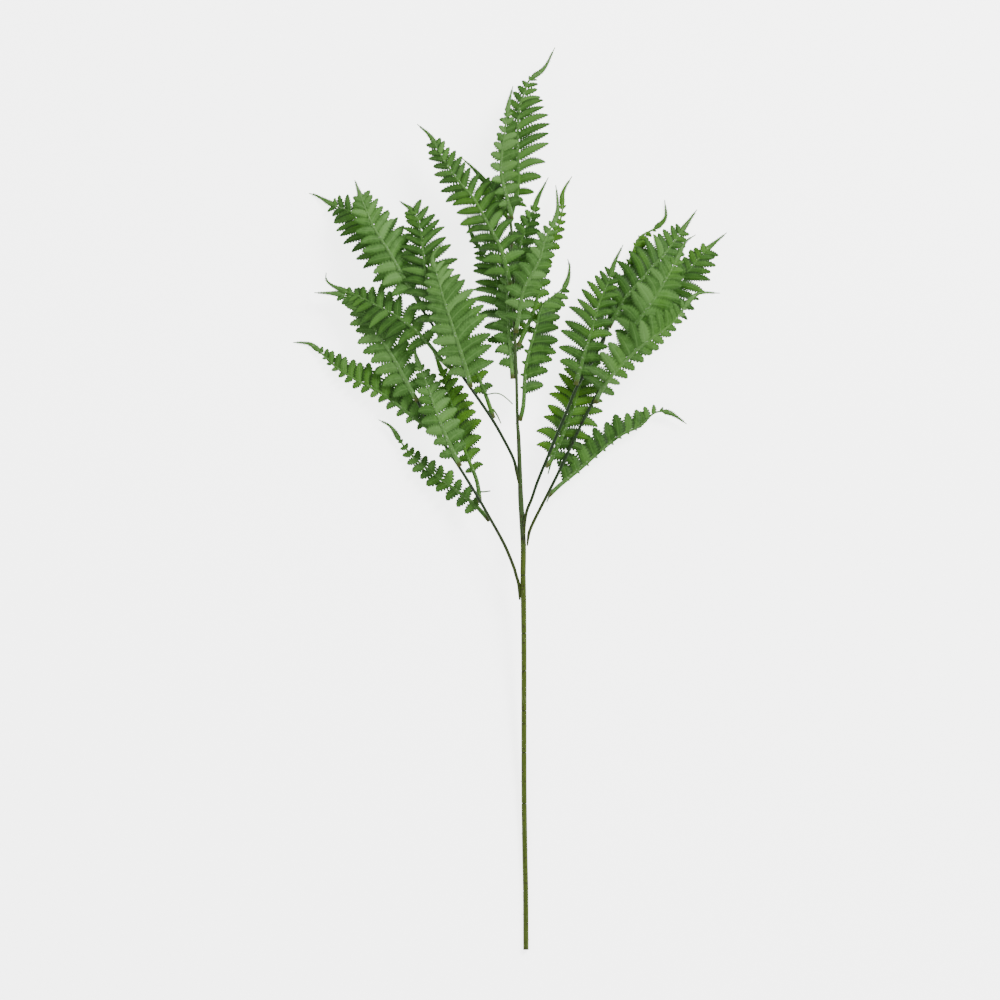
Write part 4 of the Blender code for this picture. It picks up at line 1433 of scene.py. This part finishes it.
FRONDS: tuple[MouldedFrond, ...] = (
    # Fronds of the main stem, from its end down.
    MouldedFrond(
        "frond_top", "main_stem", Plastic.LEAF_MID,
        (
            (512.5, 214, 45), (517.8, 189.4, 46.5), (518, 165, 45), (517.6, 135, 42), (519.3, 109, 38),
            (524.4, 92.5, 35), (530, 79.5, 32), (544, 68.3, 28), (555, 47, 22),
        ),
        22, 35, -0.6, -0.6, ends_stem=True, foot_share=0.42, tip_share=0.2, taper=36, broad=0.82,
    ),
    MouldedFrond(
        "frond_top_front", "main_stem", Plastic.LEAF_LIGHT,
        (
            (511.5, 219, 48), (508, 202, 57), (501, 171.6, 62), (504, 138.4, 62), (508.4, 106.5, 58),
            (512.9, 86.8, 54),
        ),
        11, 17, 1, 1, bare=12, broad=1.1,
    ),
    MouldedFrond(
        "frond_upper_left_back", "main_stem", Plastic.LEAF_DEEP,
        ((510.6, 223, 41), (500, 206, 34), (489.5, 188, 28), (475, 170, 22), (461, 157, 19)),
        20, 24,
    ),
    MouldedFrond(
        "frond_upper_left", "main_stem", Plastic.LEAF_MID,
        (
            (511, 287, 48), (505.5, 265.4, 51.5), (499.3, 245.7, 53), (487.7, 224.3, 53.5),
            (474, 199.6, 52.5), (457.4, 180.5, 50), (440.8, 155.6, 46), (430.6, 137, 43),
            (417.2, 124.4, 39),
        ),
        27, 27, -0.6, -0.3, tip_share=0.42, broad=0.88,
    ),
    MouldedFrond(
        "frond_upper_right_inner", "main_stem", Plastic.LEAF_MID,
        (
            (513.5, 303, 38), (516, 283, 34.5), (517.5, 260.9, 33), (522.5, 237.7, 33),
            (531.4, 215.4, 33), (539, 195.7, 32), (548.4, 177.4, 31),
        ),
        17, 20, 0, 0,
    ),
    MouldedFrond(
        "frond_upper_right_front", "main_stem", Plastic.LEAF_LIGHT,
        (
            (516.5, 334, 50), (522.5, 293.9, 60), (530.5, 277, 63), (539.5, 260, 64),
            (545.7, 238.6, 64), (556.4, 217, 62), (557.2, 200, 60), (555.5, 185.9, 57),
        ),
        17, 17, 0.2, -0.6, taper=37,
    ),
    MouldedFrond(
        "frond_upper_right_back", "main_stem", Plastic.LEAF_DEEP,
        (
            (518, 349, 42), (533.2, 312.3, 34), (537.7, 293.9, 31), (541.3, 262.7, 28),
            (554.6, 235.9, 26), (561.8, 213.6, 25), (562.7, 193, 24), (572, 176, 21),
        ),
        13, 13, 0.3, -0.6, bare=14,
    ),
    MouldedFrond(
        "frond_mid_left", "main_stem", Plastic.LEAF_MID,
        (
            (516.5, 374, 38), (513, 354, 33), (510, 338, 29), (504, 310, 27), (497.3, 282, 26),
            (487.7, 259, 26), (476, 243, 27), (469.5, 228, 26), (467, 214, 24),
        ),
        29, 21, -0.6, -0.2, bare=20, foot_share=0.8, tip_share=0.2, broad=0.88,
    ),
    MouldedFrond(
        "frond_mid_front", "main_stem", Plastic.LEAF_LIGHT,
        (
            (512.5, 380, 43.5), (510.6, 352, 40.5), (508.4, 325.7, 40), (507, 294.5, 40),
            (504.6, 267, 40), (499.5, 245, 39),
        ),
        16, 5, -0.6, -0.3, broad=1.15,
    ),
    MouldedFrond(
        "frond_mid_right", "main_stem", Plastic.LEAF_MID,
        (
            (518.9, 421, 44), (523.5, 404, 47.5), (526, 365.9, 49), (535.9, 328.4, 49.5),
            (543, 306, 48.5), (564.5, 286.8, 46), (569.4, 269, 44), (567.6, 259.1, 42),
        ),
        5, 28, 0.3, -0.6, bare=27, broad=1.8,
    ),
    # Fronds of the high branch on the left.
    MouldedFrond(
        "frond_left_tip", "branch_left_high", Plastic.LEAF_MID,
        (
            (412, 292.5, 36.5), (403.3, 275, 33), (392, 257.8, 29), (378.8, 239.4, 24),
            (366.5, 225, 20), (351.2, 211.8, 15), (333.9, 204.7, 8.5), (316.5, 195, 2.5),
            (308.4, 192.4, 0.6),
        ),
        35, 33, -0.3, -0.3, ends_stem=True, tip_share=0.3, broad=0.88,
    ),
    MouldedFrond(
        "frond_left_tip_front", "branch_left_high", Plastic.LEAF_LIGHT,
        (
            (421, 304, 42), (415, 295, 47), (405, 280, 50), (389, 252, 50), (374, 228, 47),
            (362, 200, 42), (354.8, 180.2, 37),
        ),
        24, 28, 0.5, -0.4, bare=15, tip_share=0.45, taper=18, broad=0.84,
    ),
    MouldedFrond(
        "frond_left_upper", "branch_left_high", Plastic.LEAF_MID,
        (
            (442, 342, 48), (438, 328, 55), (431, 300, 59), (424.9, 266.7, 59), (421.3, 236, 58),
            (415.5, 214.5, 55), (399.4, 201.4, 50),
        ),
        26, 34, -0.3, -0.6, bare=18, tip_share=0.45, taper=20, broad=0.88,
    ),
    MouldedFrond(
        "frond_left_front", "branch_left_high", Plastic.LEAF_LIGHT,
        (
            (471.5, 388, 51), (464.2, 362.7, 62), (454.5, 333, 68), (443.3, 297.3, 70),
            (436.5, 273, 69), (433, 257, 67), (443.3, 243.8, 64),
        ),
        25, 38, -0.5, -0.6, broad=1.1,
    ),
    MouldedFrond(
        "frond_left_back", "branch_left_high", Plastic.LEAF_DEEP,
        (
            (493.2, 418, 43), (487.7, 400.7, 40), (477.9, 375.7, 36), (466, 348, 34), (452, 312, 32),
            (444, 285, 30),
        ),
        15, 14, -0.3, -0.3, bare=24,
        threads=(
            (
                (486, 394.5, 40.5, 0.7), (489, 394.2, 41.5, 0.9), (495.3, 393.3, 43, 0.9),
                (501.4, 394.8, 44, 0.9), (507.5, 399.3, 44.5, 0.8), (512.7, 404.3, 44.5, 0.6),
            ),
            ((493, 409, 42.5, 1), (497.3, 415.6, 43.5, 1), (501, 423.6, 43.5, 0.6)),
        ),
    ),
    MouldedFrond(
        "frond_left_cross", "branch_left_high", Plastic.LEAF_MID,
        (
            (454, 371, 46.5), (443.5, 362, 47), (422.8, 337.4, 45), (403, 320.6, 43),
            (383.8, 309.3, 41), (361.4, 297.6, 38), (345, 291, 36), (333, 286, 35), (326.4, 280, 34),
            (326.2, 272.6, 33),
        ),
        29, 22, -0.3, 0.2, bare=36, foot_share=0.85, tip_share=0.2, taper=34,
    ),
    # Fronds of the low branch on the left.
    MouldedFrond(
        "frond_left_mid", "branch_left_low", Plastic.LEAF_LIGHT,
        (
            (417.2, 400.6, 29.8), (407.3, 383.3, 28), (393, 357.8, 27), (378.8, 335.3, 26),
            (370.6, 321, 25), (358.3, 301.5, 24), (340, 294, 22), (314, 292.4, 17),
        ),
        25, 25, -0.3, -0.3, ends_stem=True,
    ),
    MouldedFrond(
        "frond_left_outer", "branch_left_low", Plastic.LEAF_MID,
        (
            (435, 433, 29), (421.6, 423, 24), (402.2, 408.8, 19), (381.8, 393.5, 16),
            (353.3, 378.2, 12), (335.9, 366.9, 9), (313.5, 346, 4), (303.3, 342.4, 2.2),
            (292.5, 341.9, 0.8),
        ),
        10, 24, 0.3, 0.2, tip_share=0.3, broad=1.2,
    ),
    MouldedFrond(
        "frond_left_inner", "branch_left_low", Plastic.LEAF_LIGHT,
        (
            (460, 466, 37), (445.6, 435.5, 41), (435, 407.7, 39), (427.4, 385.6, 37), (417.5, 361, 35),
            (415, 350, 34), (417, 338, 33),
        ),
        18, 20, -0.2, -0.3,
    ),
    MouldedFrond(
        "frond_left_shaded", "branch_left_low", Plastic.LEAF_DEEP,
        (
            (480, 502, 30), (476.5, 480, 24), (465.7, 452.7, 20), (457, 425, 18), (450, 400, 16),
            (441, 370, 14), (431, 345, 12),
        ),
        15, 27, -0.2, -0.6, bare=28, foot_share=0.6, broad=1.15,
        threads=(((478.5, 491.2, 27, 0.9), (483.5, 491.8, 28, 0.9), (490.5, 490.9, 28, 0.7)),),
    ),
    MouldedFrond(
        "frond_left_lowest", "branch_left_low", Plastic.LEAF_MID,
        (
            (489.8, 520.6, 30), (473.3, 503.4, 24), (446.5, 483.3, 15), (417.8, 461.3, 10),
            (401.6, 443.1, 8), (391, 427, 8), (378.2, 419.4, 8),
        ),
        15, 14, 0, 0.2, bare=16, tip_share=0.25, broad=1.25,
    ),
    # Fronds of the inner branch on the right.
    MouldedFrond(
        "frond_right_inner_low", "branch_right_inner", Plastic.LEAF_DEEP,
        (
            (545.6, 467, 38), (552.5, 457.5, 31.5), (564.6, 430.8, 27), (575, 402, 24), (585, 368, 21),
            (592, 340, 19), (597, 322, 17),
        ),
        31, 30, -0.6, -0.3, bare=10, foot_share=0.85, broad=0.92,
        threads=(((551.5, 461, 34, 1.2), (550, 466.5, 35, 1.2), (547.9, 474.2, 35.5, 0.6)),),
    ),
    MouldedFrond(
        "frond_right_inner_high", "branch_right_inner", Plastic.LEAF_MID,
        (
            (576, 386, 44), (583, 358, 46), (591.2, 331.3, 46), (598.9, 303.6, 45), (607, 285, 44),
            (615, 261.5, 42), (623, 245, 40),
        ),
        31, 23, -0.6, -0.2, broad=0.9,
    ),
    MouldedFrond(
        "frond_right_back", "branch_right_inner", Plastic.LEAF_DEEP,
        (
            (602.5, 343, 34), (611, 312, 22), (622, 282, 16), (632, 255, 11), (640, 237, 8),
            (655, 227.8, 5.5), (665.8, 217, 4), (665.1, 199.1, 2.5),
        ),
        5, 20, -0.2, -0.1, bare=26, tip_share=0.2,
    ),
    MouldedFrond(
        "frond_right_upper", "branch_right_inner", Plastic.LEAF_MID,
        (
            (609.3, 327.2, 37.5), (623.5, 301, 33), (637.8, 283.8, 28), (651.2, 268.4, 23),
            (662.7, 256, 18), (673, 243, 12), (697.6, 208.7, 0.6),
        ),
        31, 27, -0.2, -0.3, ends_stem=True,
    ),
    # Fronds of the outer branch on the right.
    MouldedFrond(
        "frond_right_lowest", "branch_right_outer", Plastic.LEAF_MID,
        (
            (548.5, 495, 30), (560.8, 484.3, 26), (581.2, 467.8, 22), (601.6, 449.9, 19),
            (622, 434.6, 17), (640, 426, 15), (655, 412.6, 13), (670.5, 412.9, 11), (687.1, 423.8, 9),
        ),
        26, 3.5, -0.4, -0.4, bare=20, tip_share=0.2, broad=1.25,
        threads=(((551.5, 491.5, 29.5, 1.1), (549, 497, 29.5, 1.1), (546.6, 502.4, 29.5, 0.6)),),
    ),
    MouldedFrond(
        "frond_right_folded", "branch_right_outer", Plastic.LEAF_LIGHT,
        (
            (594, 402, 33), (600, 393, 41), (606, 384, 48), (613, 374, 55), (635.2, 351.4, 63),
            (651.2, 339.2, 68), (672.3, 323, 70), (682.5, 309.5, 70), (697, 294.5, 68),
            (719.1, 293.8, 65),
        ),
        28, 15, 0.45, -0.5, bare=12, tip_share=0.3, taper=38, broad=1.2,
    ),
    MouldedFrond(
        "frond_right_front", "branch_right_outer", Plastic.LEAF_LIGHT,
        (
            (621.9, 347, 36.5), (635, 325, 50), (651, 304, 57), (666, 279, 59), (677, 259, 59),
            (684.7, 243, 58), (695.2, 235.4, 56),
        ),
        25, 26, 0, -0.4, ends_stem=True, bare=16, broad=1.15,
    ),
    MouldedFrond(
        "frond_right_outer", "branch_right_outer", Plastic.LEAF_MID,
        (
            (619.5, 354, 33), (643.6, 316, 39), (662.7, 297.1, 39.5), (679, 281.8, 39),
            (695.2, 262.7, 37), (703.8, 252.2, 35), (726.8, 232.6, 31),
        ),
        22, 34, 0, -0.4, tip_share=0.45,
    ),
)


@dataclass(frozen=True)
class Panel:
    """Soft square light that points at the middle of the table."""

    name: str
    place_m: tuple[float, float, float]
    size_m: float
    power_w: float


@dataclass(frozen=True)
class Studio:
    """Pale table, soft light and a camera that looks straight down on the spray."""

    centre: tuple[float, float] = (500.0, 500.0)
    distance_m: float = 10.0
    view_m: float = 1.0
    focus_height_m: float = 0.03
    sensor_mm: float = 36.0
    table: str = "#f6f6f4"
    table_light: str = "#ffffff"
    table_glow: float = 3.6
    table_size_m: float = 6.0
    table_wear_m: float = 1.0 / 12.0
    table_gloss: tuple[float, float] = (0.75, 0.9)
    surround: str = "#fbfcff"
    surround_strength: float = 0.8
    panels: tuple[Panel, ...] = (
        Panel("key_panel", (1.7, 1.9, 2.4), 1.2, 190.0),
        Panel("fill_panel", (-1.8, -1.2, 2.4), 2.2, 30.0),
    )

    def build(self) -> None:
        """Build the table, the lights and the camera."""
        self._table()
        self._lights()
        self._camera()

    def _table(self) -> None:
        """Backlit white acrylic, as used for cut-out product photographs.

        It looks plain white with hardly a shadow, and a little uneven in gloss.
        """
        half = self.table_size_m / 2
        mesh = bpy.data.meshes.new("table")
        corners = [(-half, -half, 0.0), (half, -half, 0.0), (half, half, 0.0), (-half, half, 0.0)]
        mesh.from_pydata(corners, [], [(0, 1, 2, 3)])
        floor = bpy.data.objects.new("table", mesh)
        bpy.context.scene.collection.objects.link(floor)
        material = bpy.data.materials.new("backlit_white_acrylic")
        material.use_nodes = True
        tree = material.node_tree
        shader = tree.nodes["Principled BSDF"]
        shader.inputs["Base Color"].default_value = linear(self.table)
        shader.inputs["Emission Color"].default_value = linear(self.table_light)
        shader.inputs["Emission Strength"].default_value = self.table_glow
        place = add_node(tree, "ShaderNodeTexCoord", out="Object")
        links = {"Vector": place, "Scale": 1.0 / self.table_wear_m}
        wear = add_node(tree, "ShaderNodeTexNoise", links, "Fac")
        links = {"Value": wear, "To Min": self.table_gloss[0], "To Max": self.table_gloss[1]}
        rough = add_node(tree, "ShaderNodeMapRange", links, "Result")
        tree.links.new(rough, shader.inputs["Roughness"])
        mesh.materials.append(material)

    def _lights(self) -> None:
        """Bright even surround, and one large soft panel from the upper right."""
        world = bpy.data.worlds.new("studio")
        bpy.context.scene.world = world
        world.use_nodes = True
        background = world.node_tree.nodes["Background"]
        background.inputs["Color"].default_value = linear(self.surround)
        background.inputs["Strength"].default_value = self.surround_strength
        for panel in self.panels:
            light = bpy.data.lights.new(panel.name, "AREA")
            light.shape = "SQUARE"
            light.size = panel.size_m
            light.energy = panel.power_w
            item = bpy.data.objects.new(panel.name, light)
            item.location = panel.place_m
            item.rotation_mode = "QUATERNION"
            item.rotation_quaternion = (-Vector(panel.place_m)).to_track_quat("-Z", "Y")
            bpy.context.scene.collection.objects.link(item)

    def _camera(self) -> None:
        """Long lens straight above the middle of the photograph's sheet."""
        lens = bpy.data.cameras.new("camera")
        lens.sensor_width = self.sensor_mm
        lens.lens = self.sensor_mm * (self.distance_m - self.focus_height_m) / self.view_m
        camera = bpy.data.objects.new("camera", lens)
        middle = (place_of((*self.centre, 0.0)) + SHEET_ORIGIN) * MM
        camera.location = (middle.x, middle.y, self.distance_m)
        bpy.context.scene.collection.objects.link(camera)
        bpy.context.scene.camera = camera


@dataclass
class BrackenSpray:
    """The whole spray: stems, fronds, and what they share."""

    stems: Sequence[SleevedStem]
    fronds: Sequence[MouldedFrond]
    finishes: Sequence[PlasticFinish]
    seed: int = 41

    def build(self) -> list[bpy.types.Object]:
        """Build and dress every piece.

        Returns:
            The pieces, stems first.
        """
        dressed = {finish.slot: finish.material() for finish in self.finishes}
        by_name = {stem.name: stem for stem in self.stems}
        leaflets = {blade: LeafletPattern(blade).build() for blade in Blade}
        tree = stem_tree()
        pieces = [stem.build(tree, dressed[stem.slot]) for stem in self.stems]
        tree = frond_tree()
        for seed, frond in enumerate(self.fronds, start=self.seed):
            pieces.append(frond.build(by_name, tree, leaflets, dressed[frond.slot], seed))
        for piece in pieces:
            LOG.info("%s: %d faces", piece.name, len(piece.data.polygons))
        for leaflet in leaflets.values():
            bpy.data.objects.remove(leaflet)
        return pieces


def main() -> None:
    """Load the frame, dress it, and set the table, lights and camera."""
    logging.basicConfig(level=logging.INFO, format="%(message)s")
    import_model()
    Studio().build()
    pieces = BrackenSpray(STEMS, FRONDS, FINISHES).build()
    total = sum(len(polygon.vertices) - 2 for piece in pieces for polygon in piece.data.polygons)
    LOG.info("%d pieces, %d triangles", len(pieces), total)


if __name__ == "__main__":
    main()
